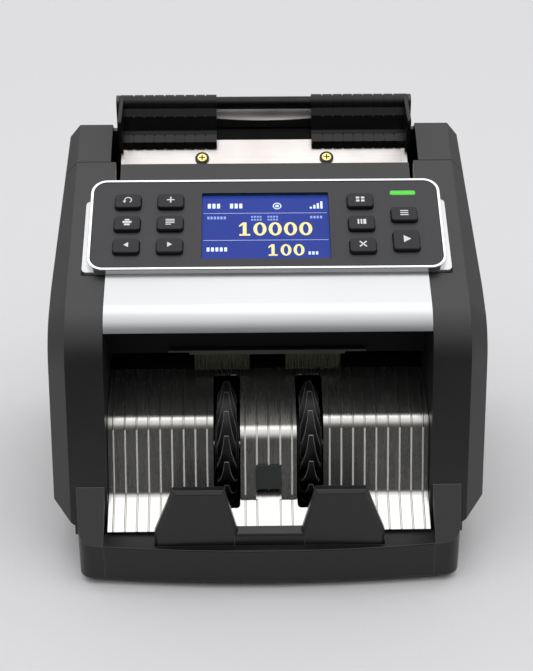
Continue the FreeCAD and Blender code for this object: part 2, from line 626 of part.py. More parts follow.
def make_display_board():
    """Circuit board under the keys, with the framed screen module on it."""
    plate_back = -PLATE_SINK - PLATE_T
    board_top = -PLATE_SINK - BOARD_DEPTH
    board = rounded_plate(2 * HOPPER_HALF - 3, PANEL_LEN - 16, 2.0, board_top - 1.6, board_top,
                          0, PANEL_LEN / 2)
    module = rounded_plate(SCREEN_W + 6, SCREEN_L + 2.5, 1.0, board_top, plate_back - 0.1,
                           SCREEN_X, SCREEN_V)
    well = rounded_plate(SCREEN_W, SCREEN_L, 0.8, -PLATE_SINK - SCREEN_SINK - GLASS_T, 0,
                         SCREEN_X, SCREEN_V)
    return tilt(board.fuse(module).cut(well))


def make_display_window():
    """Screen glass, sunk into the plate's opening."""
    top = -PLATE_SINK - SCREEN_SINK
    return tilt(rounded_plate(SCREEN_W - 0.4, SCREEN_L - 0.4, 0.6, top - GLASS_T, top,
                              SCREEN_X, SCREEN_V))


def make_light():
    body = rounded_plate(LIGHT_W - 0.2, LIGHT_L - 0.2, 1.3, -PLATE_SINK - 5.0,
                         -PLATE_SINK + 0.35, LIGHT_X, LIGHT_V)
    return tilt(fillet_where(body, 0.3, lambda e: e.BoundBox.ZMin > -PLATE_SINK + 0.3))


# ---- hopper ----------------------------------------------------------------------------------
def floor_z(y):
    return HOPPER_Z0 + HOPPER_SLOPE * (y - HOPPER_Y0)


def panel_z(y):
    return PANEL_Z + (y - PANEL_Y) * math.tan(math.radians(PANEL_SLOPE))


def make_hopper_front():
    """Dark bar that closes the space behind the panel and is the hopper's front wall."""
    slope = math.radians(PANEL_SLOPE)
    y0 = PANEL_Y + PANEL_LEN * math.cos(slope) + GAP
    z0 = PANEL_Z + PANEL_LEN * math.sin(slope)
    y1 = HOPPER_FRONT_Y

    def behind_panel(depth):
        return y0 + depth * math.sin(slope), z0 - depth * math.cos(slope)

    outline = [behind_panel(0.9), (y1, panel_z(y1) - 0.4, 1.0), (y1, HOPPER_WALL_FOOT),
               (y1 - WALL, HOPPER_WALL_FOOT), (y1 - WALL, panel_z(y1) - 5.5), behind_panel(6.0)]
    return side_prism(outline, -BAR_HALF, BAR_HALF)


def make_hopper_plate():
    """Bent steel floor with a folded hem along each side and openings for the feed rollers."""
    y0 = HOPPER_FRONT_Y + 1.2
    path = [HOPPER_TOP, (HOPPER_BEND_Y, floor_z(HOPPER_BEND_Y)), (y0, floor_z(y0))]
    plate = strip(path, [3.0], SHEET, -FLOOR_HALF, FLOOR_HALF)
    hem = side_prism([(y0, floor_z(y0) - 0.5), (HEM_REAR_Y, floor_z(HEM_REAR_Y) - 0.5),
                      (HEM_REAR_Y, floor_z(HEM_REAR_Y) + FLANGE_H), (y0, floor_z(y0) + FLANGE_H)],
                     FLOOR_HALF - HEM_W, FLOOR_HALF)
    whole = fuse([plate, hem, mirrored(hem)])
    for x in ROLLER_X:
        whole = whole.cut(box(x - ROLLER_W / 2 - 1.5, x + ROLLER_W / 2 + 1.5, y0 - 1,
                              roller_opening_end(), 150, 240))
    for side in (-1, 1):
        whole = whole.cut(screw_axis(side, 2.0, -6, 6))
    return whole


def roller_opening_end():
    """Rear end of the steel floor's openings: where a feed roller dips under it, and a gap."""
    lean = math.hypot(1, HOPPER_SLOPE)
    height = (floor_z(FEED[0]) - FEED[1]) / lean - SHEET
    along = math.sqrt(FEED_ROLLER_R ** 2 - height ** 2)
    return FEED[0] + (along - height * HOPPER_SLOPE) / lean + 2.0


def screw_axis(side, radius, low, high):
    lean = math.hypot(1, HOPPER_SLOPE)
    up = V(0, -HOPPER_SLOPE / lean, 1 / lean)
    base = V(side * SCREW_X, SCREW_Y, floor_z(SCREW_Y))
    return Part.makeCylinder(radius, high - low, base + up * low, up)


def make_hopper_screws():
    made = []
    for side in (-1, 1):
        head = screw_axis(side, 3.6, 0.0, 1.9)
        head = head.makeFillet(0.8, [head.Edges[0]])
        shank = screw_axis(side, 1.9, -5.0, 0.2)
        lean = math.hypot(1, HOPPER_SLOPE)
        up = V(0, -HOPPER_SLOPE / lean, 1 / lean)
        along = V(0, 1 / lean, HOPPER_SLOPE / lean)
        at = V(side * SCREW_X, SCREW_Y, floor_z(SCREW_Y)) + up * 1.9
        cuts = []
        for one, two in ((V(1, 0, 0), along), (along, V(1, 0, 0))):
            corners = [at + one * (a * 2.2) + two * (b * 0.45)
                       for a, b in ((-1, -1), (1, -1), (1, 1), (-1, 1))]
            wire = Part.makePolygon(corners + corners[:1])
            cuts.append(Part.Face(wire).extrude(up * -1.0))
            cuts.append(Part.Face(wire).extrude(up * 0.5))
        made.append(fuse([head, shank]).cut(fuse(cuts)))
    return Part.makeCompound(made)


def make_back_strip():
    """Glossy black bar across the hopper, behind the guides, its top edge dished."""
    y, half = BACK_STRIP_Y, GUIDE_IN + 26.0
    low, high = floor_z(HOPPER_BEND_Y) + 3.4, BACK_STRIP_TOP
    left, right = V(-half, y, high), V(half, y, high)
    wire = Part.Wire([Part.Arc(left, V(0, y, high - BACK_STRIP_DISH), right).toShape(),
                      Part.LineSegment(right, V(half, y, low)).toShape(),
                      Part.LineSegment(V(half, y, low), V(-half, y, low)).toShape(),
                      Part.LineSegment(V(-half, y, low), left).toShape()])
    return Part.Face(wire).extrude(V(0, BACK_STRIP_T, 0))


def guide_profile(depth=0.0):
    """Scoop of a note guide seen from the side, its front faces cut back by a depth."""
    d = depth
    low = GUIDE_FRONT_Y
    rest = SHEET + GUIDE_CLEAR
    return [(low + d, floor_z(low) + rest), (low + d, 225.6), (98.6, 229.6 - d, 0.8),
            (99.8, 229.0 - d, 0.6), (102.2, 228.2), (103.8, 230.4, 1.0), (104.6, 240.2),
            (104.6 + d, 240.8), (107.4 + d, 245.6), (ROD_Y, ROD_Z), (108.8, 243.6),
            (106.6, 241.0), (106.6, 234.6, 2.0), (105.0, floor_z(105.0) + rest)]


def make_guide():
    """Right-hand note guide: grooved scoop on the rod, and a side wall."""
    x0, x1 = GUIDE_IN, GUIDE_OUT
    wall = side_prism([(76.5, 246.8, 2.0), (ROD_Y + 1, ROD_Z + ROLL_R),
                       (ROD_Y + ROLL_R, ROD_Z + 0.5, 2.0), (ROD_Y + ROLL_R - 3, 241.6),
                       (106.6, 236.0), (GUIDE_FRONT_Y, guide_foot(GUIDE_FRONT_Y)),
                       (88.5, guide_foot(88.5))], x1 - GUIDE_WALL, x1)
    pieces = [side_prism(guide_profile(GROOVE_DEPTH), x0, x1),
              rod_x(x0, x1, ROD_Y, ROD_Z, ROLL_R - GROOVE_DEPTH), wall]
    grooves = [GROOVE_FIRST + GROOVE_PITCH * i for i in range(GROOVES)]
    starts = [x0] + [x + GROOVE_W / 2 for x in grooves]
    ends = [x - GROOVE_W / 2 for x in grooves] + [x1]
    for a, b in zip(starts, ends):
        pieces.append(side_prism(guide_profile(), a, b))
        pieces.append(rod_x(a, b, ROD_Y, ROD_Z, ROLL_R))
    return fuse(pieces).cut(rod_x(0, 150, ROD_Y, ROD_Z, ROD_R + RUN))


def guide_foot(y):
    return floor_z(y) + FLANGE_H + SHEET + 0.6


# ---- stacker bay -----------------------------------------------------------------------------
def ribbed_sheet(points, radii, x0, x1, ribs):
    """Bent sheet with rounded ribs on its front side, swept along a path in the YZ plane."""
    path = [points[0]] + [(p[0], p[1], r) for p, r in zip(points[1:-1], radii)] + [points[-1]]
    spine = Part.Wire(edges_of(path, in_yz(0), False))
    back = normal_of(points[0], points[1])

    def place(x, out):
        return V(x, points[0][0] - back[0] * out, points[0][1] - back[1] * out)

    edges, last = [], place(x0, 0)
    for x in ribs:
        start, end = place(x - RIB_W / 2, 0), place(x + RIB_W / 2, 0)
        edges.append(Part.LineSegment(last, start).toShape())
        edges.append(Part.Arc(start, place(x, RIB_H), end).toShape())
        last = end
    for corner_at in (place(x1, 0), place(x1, -SHEET), place(x0, -SHEET), place(x0, 0)):
        edges.append(Part.LineSegment(last, corner_at).toShape())
        last = corner_at
    return spine.makePipeShell([Part.Wire(edges)], True, False)


def floor_line(y):
    """Height of the stacker's sloping floor."""
    (y0, z0), (y1, z1) = SHEET_PATH[2], SHEET_PATH[3]
    return z0 + (z1 - z0) * (y - y0) / (y1 - y0)


def centre_path():
    """Front face of the centre sheet: the outer sheet's bends, moved forward."""
    top, bend, foot, _ = SHEET_PATH
    first = (bend[1] - top[1]) / (bend[0] - top[0])
    steep = (foot[1] - bend[1]) / (foot[0] - bend[0])
    floor = (SHEET_PATH[3][1] - foot[1]) / (SHEET_PATH[3][0] - foot[0])
    shift = CENTRE_FORWARD * steep / (steep - first)
    down = CENTRE_DROP / math.hypot(1, steep)
    new_bend = (bend[0] - shift - down, bend[1] - shift * first - down * steep)
    slide = CENTRE_FORWARD * steep / (steep - floor)
    new_foot = (foot[0] - slide, foot[1] - slide * floor)
    return [top, new_bend, new_foot]


def make_stacker_sheet():
    """Outer stacker sheet with two wheel slots and an opening for the centre sheet."""
    half = BAY_HALF - 0.5
    count = int((half - RIB_FIRST) / RIB_PITCH) + 1
    outer = [RIB_FIRST + RIB_PITCH * i for i in range(count)]
    inner = [RIB_PITCH, 2 * RIB_PITCH]
    ribs = sorted([-x for x in outer + inner] + inner + outer)
    sheet = ribbed_sheet(SHEET_PATH, SHEET_RADII, -half, half, ribs)
    _, _, foot = centre_path()
    sheet = sheet.cut(box(-SLOT_IN - 0.1, SLOT_IN + 0.1, -200, 0, foot[1] + 0.6, 130))
    tongue_y = foot[0] + 7.5
    tongue = side_prism([(foot[0] - 1.5, floor_line(foot[0] - 1.5)), (tongue_y, floor_line(tongue_y)),
                         (tongue_y, floor_line(tongue_y) - SHEET),
                         (foot[0] - 1.5, floor_line(foot[0] - 1.5) - SHEET)],
                        -TONGUE_HALF, TONGUE_HALF)
    sheet = sheet.fuse(tongue).removeSplitter()
    front, rear = WHEEL_Y - WHEEL_R - SLOT_CLEAR, WHEEL_Y + 18
    middle = (SLOT_IN + SLOT_OUT) / 2
    for side in (-1, 1):
        slot = rounded_plate(SLOT_OUT - SLOT_IN, rear - front, 2.5, 20, 130,
                             side * middle, (front + rear) / 2)
        sheet = sheet.cut(slot)
    return sheet


def make_centre_sheet():
    """Sheet between the wheels, a little in front of the outer one, notched at its foot."""
    half = SLOT_IN - 0.3
    ribs = [RIB_PITCH * i for i in range(-2, 3)]
    sheet = ribbed_sheet(centre_path(), (CENTRE_RADIUS,), -half, half, ribs)
    _, _, foot = centre_path()
    sheet = sheet.cut(box(-50, 50, -200, 0, 0, foot[1] + 1.0))
    notch_top = foot[1] + SENSOR_FOOT + SENSOR_L * steep_up()[1] + 0.3
    return sheet.cut(box(-TONGUE_HALF, TONGUE_HALF, -200, 0, 0, notch_top))


def steep_up():
    """Unit direction up the centre sheet's steep run."""
    _, bend, foot = centre_path()
    length = math.hypot(bend[0] - foot[0], bend[1] - foot[1])
    return (bend[0] - foot[0]) / length, (bend[1] - foot[1]) / length


def make_sensor_cover():
    """Dark window over the stacker's note sensor, on the centre sheet's steep run."""
    foot, up = centre_path()[2], steep_up()
    out = (-up[1], up[0])
    low = SENSOR_FOOT / up[1]
    outline = [(foot[0] + up[0] * s + out[0] * h, foot[1] + up[1] * s + out[1] * h)
               for s, h in ((low, -SHEET - 1.5), (low + SENSOR_L, -SHEET - 1.5),
                            (low + SENSOR_L, 1.4), (low, 1.4))]
    return side_prism(outline, -SENSOR_W / 2, SENSOR_W / 2)


def make_wheel(x):
    """Stacker wheel: broad drum and curved fingers that narrow to their tips."""
    fingers = []
    for i in range(FINGERS):
        tip = math.radians(FIRST_TIP - 360.0 / FINGERS * i)
        fingers.append(finger(tip - math.radians(FINGER_SWEEP), tip))
    half, shoulder_r = FINGER_W / 2, WHEEL_R - FINGER_POINT
    taper = [(-half, 0), (-half, shoulder_r), (-TIP_W / 2, WHEEL_R),
             (TIP_W / 2, WHEEL_R), (half, shoulder_r), (half, 0)]
    wire = Part.makePolygon([V(a, WHEEL_Y, WHEEL_Z + b) for a, b in taper + taper[:1]])
    envelope = Part.Face(wire).revolve(V(0, WHEEL_Y, WHEEL_Z), V(1, 0, 0), 360)
    drum = rod_x(-HUB_W / 2, HUB_W / 2, WHEEL_Y, WHEEL_Z, WHEEL_HUB_R)
    wheel = fuse([drum, fuse(fingers).common(envelope)])
    wheel = wheel.cut(rod_x(-HUB_W, HUB_W, WHEEL_Y, WHEEL_Z, SHAFT_R))
    wheel.translate(V(x, 0, 0))
    return biggest(wheel)


def finger(root, tip):
    """One finger as an arc-shaped strip from the hub to the rim; angles from forward, upward."""
    def spot(radius, angle):
        return V(-FINGER_W / 2, WHEEL_Y - radius * math.cos(angle),
                 WHEEL_Z + radius * math.sin(angle))
    r0 = WHEEL_HUB_R - 1.0
    bow = 0.38
    mid_r, mid_a = (r0 + WHEEL_R) / 2, root + (tip - root) * bow
    half = FINGER_T / 2
    outer = Part.Arc(spot(r0, root - half / r0), spot(mid_r, mid_a - half / mid_r),
                     spot(WHEEL_R, tip - 0.3 * half / WHEEL_R)).toShape()
    inner = Part.Arc(spot(r0, root + half / r0), spot(mid_r, mid_a + half / mid_r),
                     spot(WHEEL_R, tip + 0.3 * half / WHEEL_R)).toShape()
    ends = [Part.LineSegment(outer.Vertexes[0].Point, inner.Vertexes[0].Point).toShape(),
            Part.LineSegment(outer.Vertexes[-1].Point, inner.Vertexes[-1].Point).toShape()]
    wire = Part.Wire(Part.__sortEdges__([outer, inner] + ends))
    return Part.Face(wire).extrude(V(FINGER_W, 0, 0))


def make_outlet_hood():
    """Black wall over the note outlet, running forward under the apron."""
    x = BAY_HALF - 0.5
    path = [(-24.5, 122.0), (-26.5, 150.0), (-56.5, 156.5)]
    return strip(path, [6.0], 2.0, -x, x)


def make_brush_bar():
    """Steel channel with two rows of bristle tufts that brush each note as it leaves."""
    bar = box(-52, 52, -30.2, -27.2, 122.5, 125.5)
    tufts = []
    for side in (-1, 1):
        for i in range(12):
            x = side * (13.0 + i * 3.1)
            tufts.append(box(x - 0.9, x + 0.9, -29.4, -28.0, 109.8, 123.0))
    wings = [box(-66, -52, -30.2, -27.2, 124.3, 125.5), box(52, 66, -30.2, -27.2, 124.3, 125.5)]
    return fuse([bar] + tufts + wings)


def make_note_stop():
    """Two bevelled fins joined by a low bridge, let into the tray's lip."""
    y1 = STOP_FRONT_Y + STOP_T
    fins = []
    for side in (-1, 1):
        foot = [(side * FIN_FOOT[0], STOP_FOOT_Z), (side * FIN_FOOT[1], STOP_FOOT_Z),
                (side * FIN_FOOT[1], FIN_SKIRT_Z), (side * FIN_TOP[1], FIN_TOP_Z),
                (side * FIN_TOP[0], FIN_TOP_Z), (side * FIN_FOOT[0], FIN_SKIRT_Z)]
        fin = prism(foot, in_xz(STOP_FRONT_Y), V(0, STOP_T, 0))
        front = [e for e in fin.Edges if e.BoundBox.YMax < STOP_FRONT_Y + 0.01
                 and e.BoundBox.ZMax > STOP_FOOT_Z + 1]
        fins.append(fin.makeChamfer(FIN_BEVEL, front))
    bridge = side_prism([(STOP_FRONT_Y + 0.3, STOP_FOOT_Z), (y1, STOP_FOOT_Z), (y1, BRIDGE_Z),
                         (STOP_FRONT_Y + 1.2, BRIDGE_Z - 2.6), (STOP_FRONT_Y + 0.3, BRIDGE_Z - 4.0)],
                        -FIN_FOOT[0] - 4, FIN_FOOT[0] + 4)
    return fuse(fins + [bridge])


# ---- drive -----------------------------------------------------------------------------------
def make_frame():
    """Right-hand steel side plate with bearing holes."""
    y0, z0 = face_y(BASE_TOP) + 12, BASE_TOP + 4
    floor = FOOT_H + WALL
    outline = [(y0, z0, 4), (-66, 140, 10), (-20, 158, 10), (50, 198, 6), (REAR_Y - 9, 205, 6),
               (REAR_Y - 9, z0, 4), (FRAME_FOOT[1], z0), (FRAME_FOOT[1], floor),
               (FRAME_FOOT[0], floor), (FRAME_FOOT[0], z0)]
    plate = side_prism(outline, FRAME_X, FRAME_X + FRAME_T)
    flange = box(FRAME_X - 7, FRAME_X + 0.1, *FRAME_FOOT, floor, floor + FRAME_T)
    plate = plate.fuse(flange).removeSplitter()
    for y, z in (FEED, TRANSPORT, STACKER):
        plate = plate.cut(rod_x(FRAME_X - 1, FRAME_X + 9, y, z, SHAFT_R + RUN))
    for y, z, r in ((40, 90, 16), (-20, 50, 10), (85, 140, 14), (90, 100, 9)):
        plate = plate.cut(rod_x(FRAME_X - 1, FRAME_X + 9, y, z, r))
    return plate


def make_left_frame():
    plate = mirrored(make_frame())
    motor_hole = rod_x(-FRAME_X - 9, -FRAME_X + 1, *MOTOR, 5.0)
    return plate.cut(motor_hole)


def make_shaft(centre):
    left, right = PULLEY_X - PULLEY_T - 1.0, FRAME_X + FRAME_T + 2.5
    shaft = rod_x(left, right, centre[0], centre[1], SHAFT_R)
    return shaft.makeChamfer(0.5, [shaft.Edges[0], shaft.Edges[2]])


def make_rollers(centre, radius):
    made = []
    for x in ROLLER_X:
        tyre = rod_x(x - ROLLER_W / 2, x + ROLLER_W / 2, *centre, radius)
        tyre = tyre.makeChamfer(0.8, [tyre.Edges[0], tyre.Edges[2]])
        made.append(tyre.cut(rod_x(-200, 200, *centre, SHAFT_R)))
    return Part.makeCompound(made)


def make_pulley(name, centre, bore):
    radius = PULLEY_R[name]
    x0, x1 = PULLEY_X - PULLEY_T, PULLEY_X
    drum = rod_x(x0 + 0.8, x1 - 0.8, *centre, radius)
    rims = [rod_x(x0, x0 + 0.8, *centre, radius + 1.6), rod_x(x1 - 0.8, x1, *centre, radius + 1.6)]
    return fuse([drum] + rims).cut(rod_x(x0 - 1, x1 + 1, *centre, bore))


def tangent_loop(circles):
    """Closed wire in the YZ plane round ordered circles (y, z, radius), each on its left."""
    x = PULLEY_X - PULLEY_T / 2
    spans = []
    for i, (y0, z0, r0) in enumerate(circles):
        y1, z1, r1 = circles[(i + 1) % len(circles)]
        dy, dz = y1 - y0, z1 - z0
        dist = math.hypot(dy, dz)
        heading = math.atan2(dz, dy)
        out = heading - math.acos((r0 - r1) / dist)
        spans.append(((y0 + r0 * math.cos(out), z0 + r0 * math.sin(out)),
                      (y1 + r1 * math.cos(out), z1 + r1 * math.sin(out)), out))
    edges = []
    for i, (y, z, r) in enumerate(circles):
        arrive = spans[i - 1]
        leave = spans[i]
        a0, a1 = arrive[2], leave[2]
        while a1 < a0:
            a1 += 2 * math.pi
        mid = (a0 + a1) / 2
        edges.append(Part.Arc(V(x, *arrive[1]), V(x, y + r * math.cos(mid), z + r * math.sin(mid)),
                              V(x, *leave[0])).toShape())
        edges.append(Part.LineSegment(V(x, *leave[0]), V(x, *leave[1])).toShape())
    return Part.Wire(edges)


def make_belt():
    order = (("motor", MOTOR), ("feed", FEED), ("transport", TRANSPORT), ("stacker", STACKER))
    width = PULLEY_T - 2.6
    inner = [(c[0], c[1], PULLEY_R[n] + BELT_CLEAR) for n, c in order]
    outer = [(c[0], c[1], PULLEY_R[n] + BELT_CLEAR + BELT_T) for n, c in order]
    solid = Part.Face(tangent_loop(outer)).extrude(V(width, 0, 0))
    hole = Part.Face(tangent_loop(inner)).extrude(V(width, 0, 0))
    belt = solid.cut(hole)
    belt.translate(V(-width / 2, 0, 0))
    return belt


def make_motor():
    x0 = -FRAME_X
    body = rod_x(x0, x0 + MOTOR_L, *MOTOR, MOTOR_R)
    body = body.makeFillet(1.5, [e for e in body.Edges if e.BoundBox.XMin > x0 + 1])
    nose = rod_x(x0 - 2.0, x0, *MOTOR, 4.6)
    cap = rod_x(x0 + MOTOR_L, x0 + MOTOR_L + 3, *MOTOR, 6.0)
    return fuse([body, nose, cap]).cut(rod_x(x0 - 3, x0 + 20, *MOTOR, 2.5 + RUN))


def make_motor_pulley():
    pulley = make_pulley("motor", MOTOR, 0.5)
    shaft = rod_x(PULLEY_X - PULLEY_T, -FRAME_X + 12, *MOTOR, 2.5)
    return fuse([pulley, shaft])


def make_note_chutes():
    """Black plates that lead a note to the outlet, and the trough behind the stacker wheels."""
    x = BAY_HALF - 0.5
    trough_half = SLOT_OUT + 4.0
    trough = [(-1.6, 104.0), (-1.6, 50.0), (-14.0, 26.0), (-30.0, 15.6), (-62.0, 15.6)]
    lower = [(-22.0, 106.4), (-4.0, 111.6), (24.0, 124.0), (38.0, 150.0), (42.5, 187.0)]
    upper = [(-23.4, 126.5), (-10.0, 158.0), (12.0, 168.0), (32.0, 187.0)]
    return Part.makeCompound([strip(lower, [14, 14, 14], 1.6, -x, x),
                              strip(upper, [8, 10], 1.6, -x, x),
                              strip(trough, [6, 6, 6], 1.2, -trough_half, trough_half)])


# ---- electrics -------------------------------------------------------------------------------
def make_image_sensors():
    """Two contact image sensor bars, one each side of the note path."""
    made = []
    for y, z in ((-10.0, 125.0), (26.0, 110.0)):
        bar = side_prism([(y - 6, z - 7), (y + 6, z - 7), (y + 6, z + 7), (y - 6, z + 7)], -100, 100)
        made.append(chamfer_where(bar, 1.2, lambda e: e.BoundBox.XLength > 100))
    return Part.makeCompound(made)


def make_main_board():
    z = FOOT_H + WALL + 6
    board = box(-100, 10, -10, 105, z, z + 1.6)
    parts = [box(-90, -62, 10, 38, z + 1.6, z + 4), box(-50, -30, 60, 80, z + 1.6, z + 8),
             box(-20, 0, 10, 30, z + 1.6, z + 6), box(-90, -70, 80, 96, z + 1.6, z + 12)]
    posts = [Part.makeCylinder(3, 6, V(x, y, FOOT_H + WALL))
             for x in (-94, 4) for y in (-4, 99)]
    return fuse([board] + parts + posts)


def make_power_supply():
    z = FOOT_H + WALL
    case = box(20, 98, 0, 88, z, z + 34)
    case = chamfer_where(case, 1.5, lambda e: e.BoundBox.ZMin > z + 33)
    slots = [box(26 + i * 8, 29 + i * 8, 10, 78, z + 32, z + 36) for i in range(9)]
    inner = box(21.2, 96.8, 1.2, 86.8, z + 1.2, z + 32.8)
    return case.cut(inner).cut(Part.makeCompound(slots))


def make_power_inlet():
    """Three-pin appliance inlet and the switch's frame, moulded as one, let into the rear wall."""
    w, h = INLET_W / 2, INLET_H / 2
    sw, sh = SWITCH_W / 2, SWITCH_H / 2
    low_x, high_x = SWITCH_X - sw - 5, INLET_X + w + 5
    flange = prism([(low_x, INLET_Z - h - 4, 3), (high_x, INLET_Z - h - 4, 3),
                    (high_x, INLET_Z + h + 4, 3), (low_x, INLET_Z + h + 4, 3)],
                   in_xz(REAR_Y - WALL - 1.8), V(0, 1.8, 0))
    body = box(INLET_X - w, INLET_X + w, REAR_Y - INLET_DEPTH - 2, REAR_Y,
               INLET_Z - h, INLET_Z + h)
    frame = box(SWITCH_X - sw, SWITCH_X + sw, REAR_Y - INLET_DEPTH, REAR_Y,
                SWITCH_Z - sh, SWITCH_Z + sh)
    socket = prism([(INLET_X - w + 1.8, INLET_Z - h + 1.8), (INLET_X + w - 1.8, INLET_Z - h + 1.8),
                    (INLET_X + w - 1.8, INLET_Z + 3.5), (INLET_X + w - 6, INLET_Z + h - 1.8),
                    (INLET_X - w + 6, INLET_Z + h - 1.8), (INLET_X - w + 1.8, INLET_Z + 3.5)],
                   in_xz(REAR_Y - INLET_DEPTH), V(0, INLET_DEPTH + 1, 0))
    wall = SWITCH_WALL
    well = box(SWITCH_X - sw + wall, SWITCH_X + sw - wall, REAR_Y - INLET_DEPTH + 2, REAR_Y + 1,
               SWITCH_Z - sh + wall, SWITCH_Z + sh - wall)
    pivot = rod_x(SWITCH_X - sw - 1, SWITCH_X + sw + 1, *switch_axis(), ROCKER_PIN_R + RUN)
    pins = [box(INLET_X + dx - 1, INLET_X + dx + 1, REAR_Y - INLET_DEPTH - 1, REAR_Y - 6,
                INLET_Z + dz - 2, INLET_Z + dz + 2) for dx, dz in ((-7, -2), (0, 2), (7, -2))]
    body = fuse([flange, body, frame]).cut(socket).cut(well).cut(pivot)
    return fuse([body] + pins)


def switch_axis():
    return REAR_Y - 6.0, SWITCH_Z


def make_rocker():
    """Rocker of the mains switch, standing proud at its lower end."""
    y, z = switch_axis()
    h = SWITCH_H / 2 - SWITCH_WALL - 0.8
    w = SWITCH_W / 2 - SWITCH_WALL - 0.3
    outline = [(y - 3.0, z - h + 2), (y - 3.0, z + h - 2), (y + 2.4, z + h - 0.8, 1.0),
               (y + 4.0, z, 20), (y + 5.6, z - h + 1.2, 1.0)]
    body = side_prism(outline, SWITCH_X - w, SWITCH_X + w)
    pin = rod_x(SWITCH_X - w - 1.5, SWITCH_X + w + 1.5, y, z, ROCKER_PIN_R)
    return fuse([body, pin])


def build():
    """Every node by name."""
    housing = make_housing()
    block = make_base_block()
    guide = make_guide()
    cover = make_front_cover()
    hopper_plate = make_hopper_plate()
    nodes = {
        "right_side_housing": housing, "left_side_housing": mirrored(housing),
        "rear_cover": make_rear_cover(hopper_plate), "rear_door": make_rear_door(),
        "base_pan": make_base_pan(), "rubber_feet": make_feet(), "front_tray": make_front_tray(),
        "right_base_block": block, "left_base_block": mirrored(block),
        "front_cover": cover, "panel_frame": make_panel_frame(cover),
        "panel_plate": make_panel_plate(), "display_board": make_display_board(),
        "display_window": make_display_window(), "status_light": make_light(),
        "hopper_front_bar": make_hopper_front(), "hopper_plate": hopper_plate,
        "hopper_screws": make_hopper_screws(), "hopper_back_strip": make_back_strip(),
        "guide_rod": rod_x(-GUIDE_OUT - ROD_END, GUIDE_OUT + ROD_END, ROD_Y, ROD_Z, ROD_R),
        "right_note_guide": guide, "left_note_guide": mirrored(guide),
        "stacker_sheet": make_stacker_sheet(), "stacker_centre_sheet": make_centre_sheet(),
        "stack_sensor_cover": make_sensor_cover(), "outlet_hood": make_outlet_hood(),
        "brush_bar": make_brush_bar(), "note_stop": make_note_stop(),
        "right_stacker_wheel": make_wheel(WHEEL_X), "left_stacker_wheel": make_wheel(-WHEEL_X),
        "right_frame": make_frame(), "left_frame": make_left_frame(),
        "feed_shaft": make_shaft(FEED), "feed_rollers": make_rollers(FEED, FEED_ROLLER_R),
        "feed_pulley": make_pulley("feed", FEED, SHAFT_R),
        "transport_shaft": make_shaft(TRANSPORT),
        "transport_rollers": make_rollers(TRANSPORT, TRANSPORT_ROLLER_R),
        "transport_pulley": make_pulley("transport", TRANSPORT, SHAFT_R),
        "stacker_shaft": make_shaft(STACKER),
        "stacker_pulley": make_pulley("stacker", STACKER, SHAFT_R),
        "drive_motor": make_motor(), "motor_pulley": make_motor_pulley(),
        "drive_belt": make_belt(), "image_sensors": make_image_sensors(),
        "note_chutes": make_note_chutes(), "main_board": make_main_board(),
        "power_supply": make_power_supply(),
        "power_inlet": make_power_inlet(), "mains_rocker": make_rocker(),
    }
    for name, x, v, length in all_keys():
        nodes[f"key_{name}"] = make_key(x, v, length)
    return nodes


def main():
    os.makedirs("parts", exist_ok=True)
    nodes = build()
    for name, shape in sorted(nodes.items()):
        if not shape.isValid() or shape.Volume <= 0:
            raise SystemExit(f"{name} is not a valid solid")
        shape.exportStep(f"parts/{name}.step")
    print(len(nodes), "nodes")


main()
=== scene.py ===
"""Looks of the banknote counting machine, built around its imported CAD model. Metres throughout."""
import json
import math
import random

import bmesh
import bpy
from mathutils import Matrix, Vector


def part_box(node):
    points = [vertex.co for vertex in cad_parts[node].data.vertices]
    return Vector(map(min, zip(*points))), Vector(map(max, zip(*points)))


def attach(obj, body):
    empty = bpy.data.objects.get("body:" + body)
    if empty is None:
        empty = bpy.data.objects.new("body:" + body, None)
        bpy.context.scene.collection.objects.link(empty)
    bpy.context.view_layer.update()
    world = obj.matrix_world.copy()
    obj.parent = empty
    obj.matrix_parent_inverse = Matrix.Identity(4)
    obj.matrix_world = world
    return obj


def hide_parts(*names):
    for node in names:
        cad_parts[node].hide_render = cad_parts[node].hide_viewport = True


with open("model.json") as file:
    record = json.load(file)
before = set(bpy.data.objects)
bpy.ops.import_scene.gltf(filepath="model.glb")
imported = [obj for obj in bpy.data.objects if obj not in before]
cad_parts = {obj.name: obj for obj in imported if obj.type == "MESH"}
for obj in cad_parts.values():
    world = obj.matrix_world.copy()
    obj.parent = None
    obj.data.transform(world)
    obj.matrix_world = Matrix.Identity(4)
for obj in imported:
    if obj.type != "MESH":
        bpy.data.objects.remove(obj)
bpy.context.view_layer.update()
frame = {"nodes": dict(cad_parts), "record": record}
NODES = frame["nodes"]
MM = 0.001

# ---- the panel's tilted frame, taken from the CAD ----------------------------------------------
PANEL_SLOPE = math.atan(0.47)
PANEL_ORIGIN = Vector((0.0, -26.1 * MM, 184.0 * MM))
PANEL_TURN = Matrix.Translation(PANEL_ORIGIN) @ Matrix.Rotation(PANEL_SLOPE, 4, "X")
PLATE_SINK = 0.5 * MM
KEY_STAND = 2.9 * MM
SCREEN_SINK = 3.0 * MM
SCREEN = (-0.4 * MM, 37.7 * MM)
SCREEN_W, SCREEN_L = 85.5 * MM, 57.5 * MM

# ---- painted highlight lines on the stacker sheets' ribs: pitch and shift as in the CAD, the rest given ---
RIB_PITCH = 7.7 * MM
RIB_SHIFT = 1.8 * MM            # the outer highlight lines are this much off the centre lines' grid
RIB_OUTER = 30.0 * MM           # distance from the middle where the outer lines start
HIGHLIGHT_HALF = 0.55 * MM           # half a highlight line's width
HIGHLIGHT_Z = (48.0 * MM, 88.0 * MM)     # the highlight lines' lower and upper end, on the steep part of the sheets
